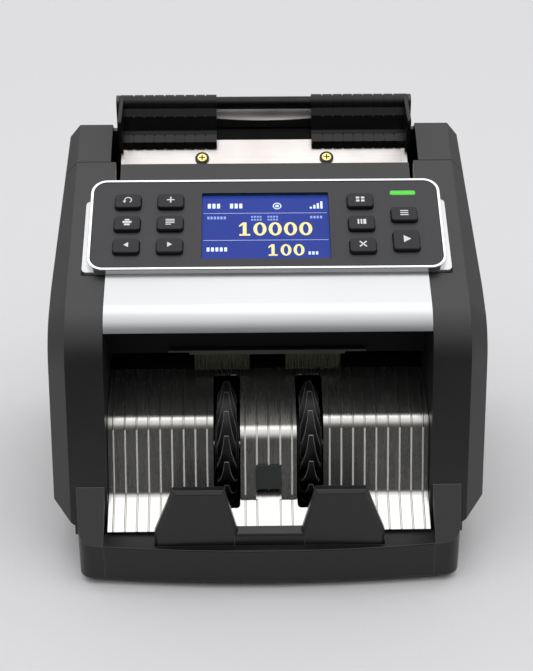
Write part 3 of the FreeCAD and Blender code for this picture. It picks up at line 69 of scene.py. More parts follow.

# ---- hopper floor -------------------------------------------------------------------------------
BAND_FRONT_Y, BAND_REAR_Y = 100.8 * MM, 110.0 * MM      # black band
HOPPER_SLOPE = math.atan(0.7)   # this and the screws' places as in the CAD
SCREWS = [Vector((x * MM, 87.8 * MM, 215.23 * MM)) for x in (-44.0, 44.0)]

# ---- printed marks: how far they reach below and above the face they are on ---------------------
SYMBOL_BELOW, SYMBOL_ABOVE = 0.05 * MM, 0.06 * MM
SCREEN_BELOW, SCREEN_ABOVE = 0.02 * MM, 0.05 * MM

# ---- stage -----------------------------------------------------------------------------------
CAMERA_AT = (-0.016, -0.9056, 0.612)
CAMERA_TILT, CAMERA_YAW = math.radians(61.5), math.radians(-1.01)
CAMERA_LENS = 80.5              # millimetres, on a sensor 36 mm wide
FLOOR_REACH = 6.0
FLOOR_DROP = 0.2 * MM           # the paper's depth below nought
CARD_LIFT = 0.5 * MM            # the card's height above nought
CARD_HALF, CARD_REAR_Y, CARD_FRONT_Y = 2.5, -0.42, -5.0
# sine of the height above the horizon, and how bright the studio is there
AROUND = ((0.0, 0.42), (0.25, 0.55), (0.55, 1.0), (1.0, 1.32))
AHEAD = ((0.0, 0.03), (0.30, 0.05), (0.55, 0.42), (0.76, 1.08), (1.0, 1.32))

# ---- brushes -----------------------------------------------------------------------------------
BRISTLES = 150                  # in each row
BRISTLE_FIRST, BRISTLE_SPAN = 12.2, 36.6     # millimetres from the middle, and along the row
HAIR_R = 0.11 * MM
CHANNEL_HALF, CHANNEL_T = 52 * MM, 0.5 * MM     # half its length, and its wall


# ---- shader helpers --------------------------------------------------------------------------
class Shader:
    """A material with one Principled shader, and short ways to build what feeds it."""

    def __init__(self, name):
        self.material = bpy.data.materials.new(name)
        self.material.use_nodes = True
        self.tree = self.material.node_tree
        self.tree.nodes.clear()
        self.output = self.add("ShaderNodeOutputMaterial")
        self.shader = self.add("ShaderNodeBsdfPrincipled")
        self.link(self.shader.outputs[0], self.output.inputs[0])
        self.place = self.add("ShaderNodeTexCoord").outputs["Object"]

    def add(self, kind, **settings):
        node = self.tree.nodes.new(kind)
        for key, value in settings.items():
            setattr(node, key, value)
        return node

    def link(self, source, target):
        self.tree.links.new(source, target)

    def set(self, **values):
        """Sets the shader's sockets, each named in lower case with underscores."""
        for key, value in values.items():
            socket = key.replace("_", " ").title().replace("Ior", "IOR")
            self.shader.inputs[socket].default_value = value

    def coordinate(self, axis):
        """One of the object's own coordinates, in metres."""
        split = self.add("ShaderNodeSeparateXYZ")
        self.link(self.place, split.inputs[0])
        return split.outputs[axis]

    def scaled(self, color, factor):
        """A colour output multiplied by a value output."""
        node = self.add("ShaderNodeVectorMath", operation="SCALE")
        self.link(color, node.inputs[0])
        self.link(factor, node.inputs["Scale"])
        return node.outputs[0]

    def stretched(self, x, y, z):
        """Object coordinates scaled along each axis."""
        mapping = self.add("ShaderNodeMapping")
        mapping.inputs["Scale"].default_value = (x, y, z)
        self.link(self.place, mapping.inputs["Vector"])
        return mapping.outputs[0]

    def noise(self, scale, detail=3.0, rough=0.5, at=None):
        node = self.add("ShaderNodeTexNoise")
        node.inputs["Scale"].default_value = scale
        node.inputs["Detail"].default_value = detail
        node.inputs["Roughness"].default_value = rough
        self.link(at or self.place, node.inputs["Vector"])
        return node.outputs["Fac"]

    def spread(self, value, low, high, start=0.3, end=0.7):
        """Maps a value from start..end to low..high."""
        node = self.add("ShaderNodeMapRange")
        node.inputs["From Min"].default_value = start
        node.inputs["From Max"].default_value = end
        node.inputs["To Min"].default_value = low
        node.inputs["To Max"].default_value = high
        self.link(value, node.inputs["Value"])
        return node.outputs["Result"]

    def ramp(self, value, *stops):
        """Colour by value, from (value, colour) stops."""
        node = self.add("ShaderNodeValToRGB")
        elements = node.color_ramp.elements
        while len(elements) < len(stops):
            elements.new(0.5)
        for element, (at, color) in zip(elements, stops):
            element.position = at
            element.color = (*color, 1.0)
        self.link(value, node.inputs["Fac"])
        return node.outputs["Color"]

    def combine(self, first, second, how="ADD", amount=None):
        """Math on two value outputs, or on one output and a fixed amount."""
        node = self.add("ShaderNodeMath", operation=how)
        self.link(first, node.inputs[0])
        if amount is None:
            self.link(second, node.inputs[1])
        else:
            node.inputs[1].default_value = amount
        return node.outputs[0]

    def bump(self, height, depth, strength=1.0, under=None):
        """Bump with a real depth in metres, on top of an earlier one."""
        node = self.add("ShaderNodeBump")
        node.inputs["Strength"].default_value = strength
        node.inputs["Distance"].default_value = depth
        self.link(height, node.inputs["Height"])
        if under:
            self.link(under, node.inputs["Normal"])
        return node.outputs[0]

    def blend(self, amount, below, above):
        """Mixes from one colour output to a fixed colour."""
        node = self.add("ShaderNodeMix", data_type="RGBA")
        node.inputs["B"].default_value = (*above, 1.0)
        self.link(amount, node.inputs["Factor"])
        self.link(below, node.inputs["A"])
        return node.outputs["Result"]

    def edges(self, width, low=0.0, high=1.0):
        """Rises from low to high within a width of the piece's sharp edges."""
        rounded = self.add("ShaderNodeBevel", samples=6)
        rounded.inputs["Radius"].default_value = width
        flat = self.add("ShaderNodeNewGeometry")
        match = self.add("ShaderNodeVectorMath", operation="DOT_PRODUCT")
        self.link(rounded.outputs[0], match.inputs[0])
        self.link(flat.outputs["Normal"], match.inputs[1])
        return self.spread(match.outputs["Value"], low, high, 0.985, 0.90)

    def finish(self, color=None, roughness=None, normal=None):
        if color:
            self.link(color, self.shader.inputs["Base Color"])
        if roughness:
            self.link(roughness, self.shader.inputs["Roughness"])
        if normal:
            self.link(normal, self.shader.inputs["Normal"])
        return self.material


def shade(color, factor):
    return tuple(min(1.0, c * factor) for c in color)


# ---- materials -------------------------------------------------------------------------------
def moulded(name, color, rough, grain=0.35, depth=0.02, gloss=0.5, edge_highlight=None):
    """Moulded plastic: fine grain, slightly uneven colour and sheen, and a painted highlight on its
    sharp edges if asked.
    """
    s = Shader(name)
    cloud = s.noise(14.0, 2.0)
    fine = s.noise(1.0 / (grain * MM), 2.0, 0.6)
    speck = s.noise(320.0, 2.0)
    tint = s.combine(s.combine(cloud, speck), None, "MULTIPLY", 0.5)
    base = s.ramp(tint, (0.3, shade(color, 0.86)), (0.7, shade(color, 1.16)))
    sheen = s.spread(s.combine(cloud, fine, "MULTIPLY"), rough - 0.05, rough + 0.07, 0.1, 0.4)
    if edge_highlight:
        # painted highlight: the colour turns paler within 0.6 mm of the sharp edges
        base = s.blend(s.edges(0.6 * MM), base, edge_highlight)
    s.set(specular_ior_level=gloss)
    return s.finish(base, sheen, s.bump(fine, depth * MM, 0.6))


def satin_silver(name, color, rough, streak=1.0):
    """Silver lacquer: fine flakes and faint streaks across the width."""
    s = Shader(name)
    streaks = s.noise(1.0, 3.0, 0.6, s.stretched(18.0, 1400.0, 1400.0))
    flakes = s.noise(2600.0, 1.0)
    cloud = s.noise(9.0, 2.0)
    mix = s.combine(s.combine(streaks, flakes), None, "MULTIPLY", 0.5)
    base = s.ramp(mix, (0.3, shade(color, 0.94)), (0.7, shade(color, 1.04)))
    sheen = s.spread(s.combine(streaks, cloud, "MULTIPLY"), rough - 0.04, rough + 0.06, 0.12, 0.4)
    s.set(metallic=1.0)
    first = s.bump(flakes, 0.004 * MM, 0.35)
    return s.finish(base, sheen, s.bump(streaks, 0.004 * MM * streak, 0.5, first))


def brushed(name, color, rough, along, depth):
    """Brushed steel: streaks along one direction, broad ones among the fine, and painted highlight
    lines on the ribs.
    """
    s = Shader(name)
    lines = s.noise(1.0, 4.0, 0.65, s.stretched(*along))
    wide = s.noise(1.0, 2.0, 0.5, s.stretched(*(a * 0.22 for a in along)))
    cloud = s.noise(22.0, 3.0)
    mix = s.combine(s.combine(lines, wide), None, "MULTIPLY", 0.5)
    base = s.ramp(mix, (0.32, shade(color, 0.90)), (0.68, shade(color, 1.06)))
    sheen = s.spread(s.combine(lines, cloud, "MULTIPLY"), rough - 0.03, rough + 0.05, 0.1, 0.42)
    # painted highlight: on the ribs' lines the colour is paler and less metallic
    rib_highlight = painted_rib_highlights(s)
    s.link(s.spread(rib_highlight, 0.98, 0.22, 0.0, 1.0), s.shader.inputs["Metallic"])
    highlighted = s.scaled(base, s.spread(rib_highlight, 1.0, 1.5, 0.0, 1.0))
    coarse = s.bump(wide, depth * 1.5 * MM, 0.12)
    return s.finish(highlighted, sheen, s.bump(lines, depth * MM, 0.25, coarse))


def painted_rib_highlights(s):
    """Painted highlight on the ribs: one on upright lines at the ribs' pitch, between the highlight
    band's heights, else nought.
    """
    height = s.coordinate("Z")
    away = s.combine(s.coordinate("X"), None, "ABSOLUTE", 0.0)
    shift = s.combine(s.combine(away, None, "GREATER_THAN", RIB_OUTER), None, "MULTIPLY", RIB_SHIFT)
    fold = s.combine(s.combine(away, shift, "SUBTRACT"), None, "PINGPONG", RIB_PITCH / 2)
    on_highlight = s.combine(fold, None, "LESS_THAN", HIGHLIGHT_HALF)
    above = s.combine(height, None, "GREATER_THAN", HIGHLIGHT_Z[0])
    below = s.combine(height, None, "LESS_THAN", HIGHLIGHT_Z[1])
    return s.combine(s.combine(on_highlight, above, "MULTIPLY"), below, "MULTIPLY")


def mill_steel(name, color, rough):
    """Bright rolled steel with faint smudges and rolling marks, and a black band."""
    s = Shader(name)
    rolling = s.noise(1.0, 3.0, 0.6, s.stretched(25.0, 900.0, 900.0))
    smudge = s.noise(38.0, 4.0, 0.6)
    mix = s.combine(s.combine(rolling, smudge), None, "MULTIPLY", 0.5)
    base = s.ramp(mix, (0.34, shade(color, 0.90)), (0.64, color))
    base = black_band(s, base)
    sheen = s.spread(smudge, rough - 0.05, rough + 0.10)
    s.set(metallic=0.85)
    return s.finish(base, sheen, s.bump(rolling, 0.004 * MM, 0.5))


def black_band(s, color):
    """Turns a colour black between the two depths of the band."""
    depth = s.coordinate("Y")
    front = s.combine(depth, None, "LESS_THAN", BAND_FRONT_Y)
    behind = s.combine(depth, None, "GREATER_THAN", BAND_REAR_Y)
    return s.scaled(color, s.combine(front, behind))


def plated(name, color, rough):
    """Plated or ground metal with a faint turned finish."""
    s = Shader(name)
    turned = s.noise(1.0, 3.0, 0.6, s.stretched(2200.0, 160.0, 160.0))
    cloud = s.noise(120.0, 3.0)
    base = s.ramp(cloud, (0.3, shade(color, 0.86)), (0.7, shade(color, 1.08)))
    s.set(metallic=1.0)
    return s.finish(base, s.spread(turned, rough - 0.05, rough + 0.08),
                    s.bump(turned, 0.003 * MM, 0.5))


def rubber(name, color, rough):
    """Dull rubber with a dusty, slightly pitted face."""
    s = Shader(name)
    pits = s.noise(1500.0, 3.0, 0.7)
    dust = s.noise(60.0, 4.0, 0.7)
    base = s.ramp(dust, (0.35, color), (0.75, shade(color, 1.5)))
    return s.finish(base, s.spread(dust, rough - 0.06, rough + 0.08),
                    s.bump(pits, 0.012 * MM, 0.5))


def rubber_with_edge_highlight(name, color, edge_highlight, rough):
    """Flexible plastic with a painted highlight, in a second, paler colour, on its sharp edges."""
    s = Shader(name)
    dust = s.noise(60.0, 4.0, 0.7)
    pits = s.noise(1500.0, 3.0, 0.7)
    # painted highlight on the sharp edges, broken up by the dust noise
    edge_glint = s.combine(s.edges(0.45 * MM), s.spread(dust, 0.5, 1.0), "MULTIPLY")
    base = s.ramp(edge_glint, (0.15, color), (0.85, edge_highlight))
    return s.finish(base, s.spread(dust, rough - 0.06, rough + 0.08),
                    s.bump(pits, 0.012 * MM, 0.4))


def circuit_board(name):
    """Green solder mask in lighter and darker patches, with a faint weave."""
    s = Shader(name)
    patches = s.add("ShaderNodeTexVoronoi")
    patches.inputs["Scale"].default_value = 130.0
    s.link(s.place, patches.inputs["Vector"])
    weave = s.noise(1100.0, 2.0)
    base = s.ramp(patches.outputs["Distance"],
                  (0.15, (0.02, 0.16, 0.06)), (0.6, (0.01, 0.09, 0.035)))
    return s.finish(base, s.spread(weave, 0.25, 0.4), s.bump(weave, 0.01 * MM, 0.4))


def lit_screen(name):
    """Blue backlit screen: fine pixel rows and a slightly uneven glow."""
    s = Shader(name)
    rows = s.add("ShaderNodeTexWave", wave_type="BANDS", bands_direction="X")
    rows.inputs["Scale"].default_value = 640.0
    s.link(s.place, rows.inputs["Vector"])
    cloud = s.noise(16.0, 1.0)
    glow = s.combine(s.combine(rows.outputs["Fac"], None, "MULTIPLY", 0.25), cloud)
    blue = s.ramp(glow, (0.35, (0.022, 0.045, 0.30)), (0.95, (0.034, 0.068, 0.44)))
    s.link(blue, s.shader.inputs["Emission Color"])
    s.set(emission_strength=0.60, specular_ior_level=0.10, coat_weight=0.04, coat_roughness=0.08)
    base = s.ramp(cloud, (0.3, (0.01, 0.02, 0.12)), (0.7, (0.014, 0.026, 0.15)))
    return s.finish(base, s.spread(cloud, 0.2, 0.3))


def lit(name, color, strength):
    """Glowing print or lens with a slightly uneven glow."""
    s = Shader(name)
    cloud = s.noise(900.0, 2.0)
    glow = s.ramp(cloud, (0.3, shade(color, 0.88)), (0.7, shade(color, 1.06)))
    s.link(glow, s.shader.inputs["Emission Color"])
    s.set(emission_strength=strength)
    return s.finish(glow, s.spread(cloud, 0.3, 0.45))


def ink(name, color):
    """Screen-printed legend: opaque ink with a faint mesh texture."""
    s = Shader(name)
    mesh = s.noise(2400.0, 2.0)
    base = s.ramp(mesh, (0.3, shade(color, 0.9)), (0.7, color))
    return s.finish(base, s.spread(mesh, 0.45, 0.6), s.bump(mesh, 0.004 * MM, 0.4))


def stage_floor(name, color):
    """Seamless paper, very slightly uneven."""
    s = Shader(name)
    fibre = s.noise(400.0, 3.0)
    base = s.ramp(fibre, (0.3, shade(color, 0.99)), (0.7, shade(color, 1.01)))
    s.set(specular_ior_level=0.1)
    return s.finish(base, s.spread(fibre, 0.85, 0.95))


def make_materials():
    charcoal = (0.013, 0.013, 0.0127)
    return {
        "housing_black": moulded("housing_black", charcoal, 0.38, gloss=0.62),
        "rear_black": moulded("rear_black", charcoal, 0.38, gloss=0.62),
        # base_black and stop_black carry a painted highlight on their sharp edges
        "base_black": moulded("base_black", (0.008, 0.008, 0.009), 0.32, gloss=0.46,
                              edge_highlight=(0.09, 0.09, 0.095)),
        "feet_rubber": rubber("feet_rubber", (0.016, 0.016, 0.016), 0.8),
        "cover_silver": satin_silver("cover_silver", (0.57, 0.58, 0.59), 0.32),
        "rim_silver": satin_silver("rim_silver", (0.90, 0.91, 0.91), 0.22, streak=0.3),
        "panel_grey": moulded("panel_grey", (0.024, 0.023, 0.030), 0.46, grain=0.25),
        "key_grey": moulded("key_grey", (0.020, 0.020, 0.024), 0.42, grain=0.3, gloss=0.28),
        "display_blue": lit_screen("display_blue"),
        "light_green": lit("light_green", (0.06, 0.44, 0.03), 0.8),
        "hopper_steel": mill_steel("hopper_steel", (0.72, 0.68, 0.66), 0.38),
        "stacker_steel": brushed("stacker_steel", (0.64, 0.63, 0.61), 0.25,
                                 (1700.0, 30.0, 30.0), 0.0022),
        "guide_black": moulded("guide_black", (0.006, 0.006, 0.006), 0.30, grain=0.5, depth=0.008,
                               gloss=0.30),
        "bar_grey": moulded("bar_grey", charcoal, 0.40, gloss=0.6),
        "rod_black": plated("rod_black", (0.03, 0.03, 0.03), 0.30),
        "screw_zinc": plated("screw_zinc", (0.80, 0.68, 0.24), 0.30),
        "stop_black": moulded("stop_black", (0.011, 0.011, 0.012), 0.30, depth=0.012, gloss=0.46,
                              edge_highlight=(0.11, 0.11, 0.115)),
        # wheel_black: near-black body with a painted highlight on the fingers' edges
        "wheel_black": rubber_with_edge_highlight("wheel_black", (0.005, 0.005, 0.005),
                                    (0.40, 0.40, 0.39), 0.5),
        "sensor_dark": moulded("sensor_dark", (0.035, 0.042, 0.038), 0.35, depth=0.008),
        "bay_black": moulded("bay_black", (0.005, 0.005, 0.005), 0.6, gloss=0.15),
        "brush_grey": moulded("brush_grey", (0.05, 0.05, 0.04), 0.5),
        "frame_steel": plated("frame_steel", (0.55, 0.56, 0.55), 0.4),
        "shaft_steel": plated("shaft_steel", (0.70, 0.70, 0.70), 0.2),
        "roller_rubber": rubber("roller_rubber", (0.05, 0.05, 0.05), 0.7),
        "pulley_white": moulded("pulley_white", (0.72, 0.72, 0.68), 0.4),
        "belt_rubber": rubber("belt_rubber", (0.02, 0.02, 0.02), 0.7),
        "motor_grey": plated("motor_grey", (0.28, 0.28, 0.29), 0.4),
        "board_green": circuit_board("board_green"),
        "sensor_bar": moulded("sensor_bar", (0.03, 0.03, 0.03), 0.5),
        "supply_metal": plated("supply_metal", (0.6, 0.61, 0.62), 0.4),
        "inlet_black": moulded("inlet_black", (0.018, 0.018, 0.018), 0.3, depth=0.008),
        "rocker_black": moulded("rocker_black", (0.018, 0.018, 0.018), 0.25, depth=0.006),
        "legend": ink("legend", (0.86, 0.87, 0.86)),
        "screen_yellow": lit("screen_yellow", (0.64, 0.57, 0.24), 0.75),
        "screen_pale": lit("screen_pale", (0.62, 0.70, 0.86), 0.6),
        "screen_dim": lit("screen_dim", (0.20, 0.28, 0.62), 0.6),
        "bristle": rubber("bristle", (0.15, 0.15, 0.11), 0.40),
    }


# ---- CAD nodes: materials, and softened edges with their widths in millimetres ---------------
EDGE_WIDTH = {
    "left_side_housing": 0.7, "right_side_housing": 0.7, "rear_cover": 0.6,
    "front_tray": 0.4, "left_base_block": 0.6, "right_base_block": 0.6, "base_pan": 0.4,
    "front_cover": 0.35, "hopper_front_bar": 0.4, "note_stop": 0.5, "rear_door": 0.3,
    "left_note_guide": 0.15, "right_note_guide": 0.15, "hopper_back_strip": 0.2,
    "stack_sensor_cover": 0.3, "power_inlet": 0.25, "mains_rocker": 0.3,
}


def soften(node, width):
    """Rounds a CAD node's sharp edges with modifiers; its own vertices stay as they are."""
    mesh = node.data
    if "custom_normal" in mesh.attributes:
        mesh.attributes.remove(mesh.attributes["custom_normal"])
    mesh.polygons.foreach_set("use_smooth", [True] * len(mesh.polygons))
    weld = node.modifiers.new("weld", "WELD")
    weld.merge_threshold = 0.002 * MM
    bevel = node.modifiers.new("edges", "BEVEL")
    bevel.width = width * MM
    bevel.segments = 3
    bevel.limit_method = "ANGLE"
    bevel.angle_limit = math.radians(24)
    bevel.use_clamp_overlap = True
    bevel.miter_outer = "MITER_ARC"
    normals = node.modifiers.new("normals", "WEIGHTED_NORMAL")
    normals.keep_sharp = False
    normals.weight = 60


def dress_cad(materials):
    slots = {row["node"]: row["material_slot"] for row in frame["record"]["subparts"]}
    for name, node in NODES.items():
        node.data.materials.clear()
        node.data.materials.append(materials[slots[name]])
        if name in EDGE_WIDTH:
            soften(node, EDGE_WIDTH[name])


# ---- small pieces ----------------------------------------------------------------------------
def piece(name, mesh_data, material, body):
    item = bpy.data.objects.new(name, mesh_data)
    bpy.context.scene.collection.objects.link(item)
    mesh_data.materials.append(material)
    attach(item, body)
    return item


def flat_prisms(name, outlines, z0, z1, turn):
    """One mesh of several flat outlines, each given thickness from z0 to z1, then placed."""
    mesh_data = bpy.data.meshes.new(name)
    work = bmesh.new()
    for outline in outlines:
        low = [work.verts.new((x, y, z0)) for x, y in outline]
        high = [work.verts.new((x, y, z1)) for x, y in outline]
        work.faces.new(low[::-1])
        work.faces.new(high)
        count = len(outline)
        for i in range(count):
            j = (i + 1) % count
            work.faces.new((low[i], low[j], high[j], high[i]))
    bmesh.ops.recalc_face_normals(work, faces=work.faces)
    work.transform(turn)
    work.to_mesh(mesh_data)
    work.free()
    return mesh_data


def bar(cx, cy, w, h):
    return [(cx - w / 2, cy - h / 2), (cx + w / 2, cy - h / 2),
            (cx + w / 2, cy + h / 2), (cx - w / 2, cy + h / 2)]


def poly(cx, cy, *points):
    return [(cx + x, cy + y) for x, y in points]


def ring_parts(cx, cy, outer, inner, start, end, steps=18):
    """Arc-shaped band as short quads, angles in degrees."""
    parts = []
    for i in range(steps):
        a = math.radians(start + (end - start) * i / steps)
        b = math.radians(start + (end - start) * (i + 1.02) / steps)
        parts.append([(cx + inner * math.cos(a), cy + inner * math.sin(a)),
                      (cx + outer * math.cos(a), cy + outer * math.sin(a)),
                      (cx + outer * math.cos(b), cy + outer * math.sin(b)),
                      (cx + inner * math.cos(b), cy + inner * math.sin(b))])
    return parts


def key_symbols():
    """Pictogram of each key as flat outlines about the key's centre, in millimetres."""
    arrow = [(-1.7, 0.0), (1.5, 2.1), (1.5, -2.1)]
    start = [(-1.9, 3.0), (3.0, 0.0), (-1.9, -3.0)]
    return {
        "auto": ring_parts(0, 0, 2.6, 1.9, -60, 200) + [
            poly(0, 0, (-3.6, -0.6), (-1.2, -0.6), (-2.4, -2.6))],
        "add": [bar(0, 0, 5.0, 0.9), bar(0, 1.5, 0.9, 2.1), bar(0, -1.5, 0.9, 2.1)],
        "print": [bar(0, 2.0, 3.2, 1.3), bar(0, 0.1, 6.0, 1.7), bar(0, -2.0, 3.8, 1.5)],
        "report": [bar(0, 2.1, 6.0, 0.75), bar(0, 0.7, 6.0, 0.75), bar(0, -0.7, 6.0, 0.75),
                   bar(-1.2, -2.1, 3.6, 0.75)],
        "previous": [poly(0, 0, *arrow)],
        "next": [[(-x, y) for x, y in arrow][::-1]],
        "mode": [bar(-1.7, 1.3, 2.3, 1.7), bar(1.7, 1.3, 2.3, 1.7),
                 bar(-1.7, -1.3, 2.3, 1.7), bar(1.7, -1.3, 2.3, 1.7)],
        "batch": [bar(-2.2, 0, 1.1, 4.2), bar(-0.2, 0, 1.1, 4.2), bar(2.0, 0, 1.9, 4.2)],
        "clear": [poly(0, 0, (-2.6, 1.9), (-1.9, 2.6), (2.6, -1.9), (1.9, -2.6)),
                  poly(0, 0, (1.9, 2.6), (2.6, 1.9), (0.4, -0.3), (-0.3, 0.4)),
                  poly(0, 0, (-2.6, -1.9), (-1.9, -2.6), (0.3, -0.4), (-0.4, 0.3))],
        "menu": [bar(0, 1.8, 5.4, 0.8), bar(0, 0, 5.4, 0.8), bar(0, -1.8, 5.4, 0.8)],
        "start": [poly(0, 0, *start)],
    }


def add_key_symbols(materials):
    for name, parts in key_symbols().items():
        low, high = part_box(f"key_{name}")
        centre = key_centre(low, high)
        outlines = [[(centre[0] + x * MM, centre[1] + y * MM) for x, y in part] for part in parts]
        top = -PLATE_SINK + KEY_STAND
        shape = flat_prisms(f"symbol_{name}", outlines, top - SYMBOL_BELOW, top + SYMBOL_ABOVE,
                            PANEL_TURN)
        piece(f"symbol_{name}", shape, materials["legend"], f"button_{name}")


def key_centre(low, high):
    """Centre of a key in the panel's frame, from its CAD box."""
    middle = (low + high) / 2
    local = PANEL_TURN.inverted() @ middle
    return local.x, local.y


# ---- the screen ------------------------------------------------------------------------------
def zero(cx, cy, w, h, side, end, steps=24):
    """Upright oval numeral, thicker at its sides than at its ends."""
    def rim(radius_x, radius_y, i):
        angle = 2 * math.pi * i / steps
        return cx + radius_x * math.cos(angle), cy + radius_y * math.sin(angle)

    outer, inner = (w / 2, h / 2), (w / 2 - side, h / 2 - end)
    return [[rim(*inner, i), rim(*outer, i), rim(*outer, i + 1), rim(*inner, i + 1)]
            for i in range(steps)]


def one(cx, cy, w, h, thick):
    """Numeral with a straight stem, a foot and a short flag."""
    stem, top = thick / 2, h / 2
    flag = poly(cx, cy, (-stem, top), (-w * 0.42, top - w * 0.30), (-w * 0.42, top - w * 0.46),
                (-stem, top - w * 0.24))
    return [bar(cx, cy, thick, h), bar(cx, cy - top + thick * 0.3, w * 0.82, thick * 0.6), flag]


def number(text, right, cy, w, h, thick, pitch):
    """Noughts and ones set from the right."""
    parts = []
    for i, which in enumerate(reversed(text)):
        cx = right - w / 2 - i * pitch
        if which == "1":
            parts += one(cx, cy, w, h, thick)
        else:
            parts += zero(cx, cy, w, h, thick, thick * 0.6)
    return parts


def add_screen(materials):
    u, v = SCREEN
    glass = -PLATE_SINK - SCREEN_SINK
    half_w, half_l = SCREEN_W / 2 / MM, SCREEN_L / 2 / MM

    def put(name, parts, material):
        outlines = [[(u + x * MM, v + y * MM) for x, y in part] for part in parts]
        shape = flat_prisms(name, outlines, glass - SCREEN_BELOW, glass + SCREEN_ABOVE,
                            PANEL_TURN)
        piece(name, shape, materials[material], "chassis")

    big = number("10000", half_w - 11.6, -0.9, 8.8, 11.6, 2.5, 10.2)
    small = number("100", half_w - 17.4, -19.2, 7.2, 9.8, 2.1, 8.6)
    put("screen_count", big + small, "screen_yellow")
    rules = [bar(0, 13.0, 2 * half_w - 2.4, 0.2), bar(0, -10.6, 2 * half_w - 2.4, 0.2)]
    header = [bar(-half_w + 5.0 + i * 3.1, 19.5, 2.1, 4.2) for i in range(3)]
    header += [bar(-half_w + 20.0 + i * 3.1, 19.5, 2.1, 4.2) for i in range(3)]
    header += ring_parts(8.0, 19.3, 2.9, 2.2, 0, 360, 20) + [bar(8.0, 19.3, 2.2, 2.2)]
    header += [bar(half_w - 12.0 + i * 2.4, 17.6 + i * 0.8, 1.5, 1.6 + i * 1.6) for i in range(4)]
    footer = [bar(-half_w + 4.4 + i * 2.9, -18.4, 1.9, 3.4) for i in range(5)]
    footer += [bar(half_w - 14.0 + i * 2.4, -22.0, 1.5, 2.6) for i in range(3)]
    put("screen_marks", rules + header + footer, "screen_pale")
    dim = [bar(-half_w + 4.4 + i * 2.2, 9.0, 1.5, 2.4) for i in range(6)]
    dim += [bar(-9.0 + j * 11.0 + i * 1.9, 9.8 - k * 2.6, 1.3, 1.5)
            for j in range(2) for i in range(4) for k in range(2)]
    dim += [bar(half_w - 12.0 + i * 2.2, 9.2, 1.5, 2.2) for i in range(4)]
    put("screen_states", dim, "screen_dim")


# ---- hopper screws ---------------------------------------------------------------------------
def add_screw_painted_shade(materials):
    """Painted shade: a dark ring round each hopper screw's head, and a dark cross as painted shadow
    in its cross recess.
    """
    for side, at in zip(("left", "right"), SCREWS):
        turn = Matrix.Translation(at) @ Matrix.Rotation(HOPPER_SLOPE, 4, "X")
        # painted shade round the head, and painted shadow in the cross recess
        for name, parts, low, high in (
                ("ring", ring_parts(0, 0, 4.9, 3.65, 0, 360, 32), 1.0, 1.12),
                ("recess_shadow", [bar(0, 0, 4.0, 0.9), bar(0, 1.2, 0.9, 1.6), bar(0, -1.2, 0.9, 1.6)],
                 1.5, 1.93)):
            outlines = [[(x * MM, y * MM) for x, y in part] for part in parts]
            shape = flat_prisms(f"{side}_screw_{name}", outlines, low * MM, high * MM, turn)
            piece(f"{side}_screw_{name}", shape, materials["rod_black"], "chassis")


# ---- brushes ---------------------------------------------------------------------------------
def add_brushes(materials):
    """Two rows of fine bristles in place of the CAD's plain tufts, on the same channel."""
    random.seed(11)
    low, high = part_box("brush_bar")
    work = bmesh.new()
    top = high.z - 1.4 * MM
    for side in (-1, 1):
        for i in range(BRISTLES):
            along = BRISTLE_FIRST + BRISTLE_SPAN * i / (BRISTLES - 1)
            x = side * along * MM + random.uniform(-0.1, 0.1) * MM
            y = random.uniform(low.y + 0.9 * MM, high.y - 0.9 * MM)
            lean = random.uniform(-0.5, 0.5) * MM
            foot = low.z + random.uniform(0.0, 0.9) * MM
            add_hair(work, Vector((x, y, top)), Vector((x + lean, y - 0.2 * MM, foot)), HAIR_R)
    hairs = bpy.data.meshes.new("bristles")
    work.to_mesh(hairs)
    work.free()
    piece("bristles", hairs, materials["bristle"], "chassis")
    add_brush_channel(materials, low, high)


def add_hair(work, top, foot, radius):
    """A three-sided tapering hair."""
    ring = [Vector((math.cos(a), math.sin(a), 0)) for a in (0.3, 2.4, 4.5)]
    upper = [work.verts.new(top + r * radius) for r in ring]
    lower = [work.verts.new(foot + r * radius * 0.6) for r in ring]
    for i in range(3):
        j = (i + 1) % 3
        work.faces.new((upper[i], upper[j], lower[j], lower[i]))
    work.faces.new(lower[::-1])
    work.faces.new(upper)


def add_brush_channel(materials, low, high):
    """Folded channel round the bristles' upper ends, with a flat tab at each end."""
    y0, y1, z0, z1 = low.y, high.y, high.z - 3.0 * MM, high.z
    t = CHANNEL_T
    outline = [(y0, z0), (y0 + t, z0), (y0 + t, z1 - t), (y1 - t, z1 - t), (y1 - t, z0), (y1, z0),
               (y1, z1), (y0, z1)]
    work = bmesh.new()
    ends = [[work.verts.new((x, y, z)) for y, z in outline] for x in (-CHANNEL_HALF, CHANNEL_HALF)]
    for i in range(len(outline)):
        j = (i + 1) % len(outline)
        work.faces.new((ends[0][i], ends[0][j], ends[1][j], ends[1][i]))
    work.faces.new(ends[0][::-1])
    work.faces.new(ends[1])
    for x0, x1 in ((low.x, -CHANNEL_HALF), (CHANNEL_HALF, high.x)):
        add_block(work, x0, x1, y0, y1, z1 - 1.2 * MM, z1)
    bmesh.ops.recalc_face_normals(work, faces=work.faces)
    channel = bpy.data.meshes.new("brush_channel")
    work.to_mesh(channel)
    work.free()
    item = piece("brush_channel", channel, materials["brush_grey"], "chassis")
    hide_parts("brush_bar")


def add_block(work, x0, x1, y0, y1, z0, z1):
    made = bmesh.ops.create_cube(work, size=1.0)["verts"]
    for vert in made:
        vert.co = Vector((x0 if vert.co.x < 0 else x1, y0 if vert.co.y < 0 else y1,
                          z0 if vert.co.z < 0 else z1))


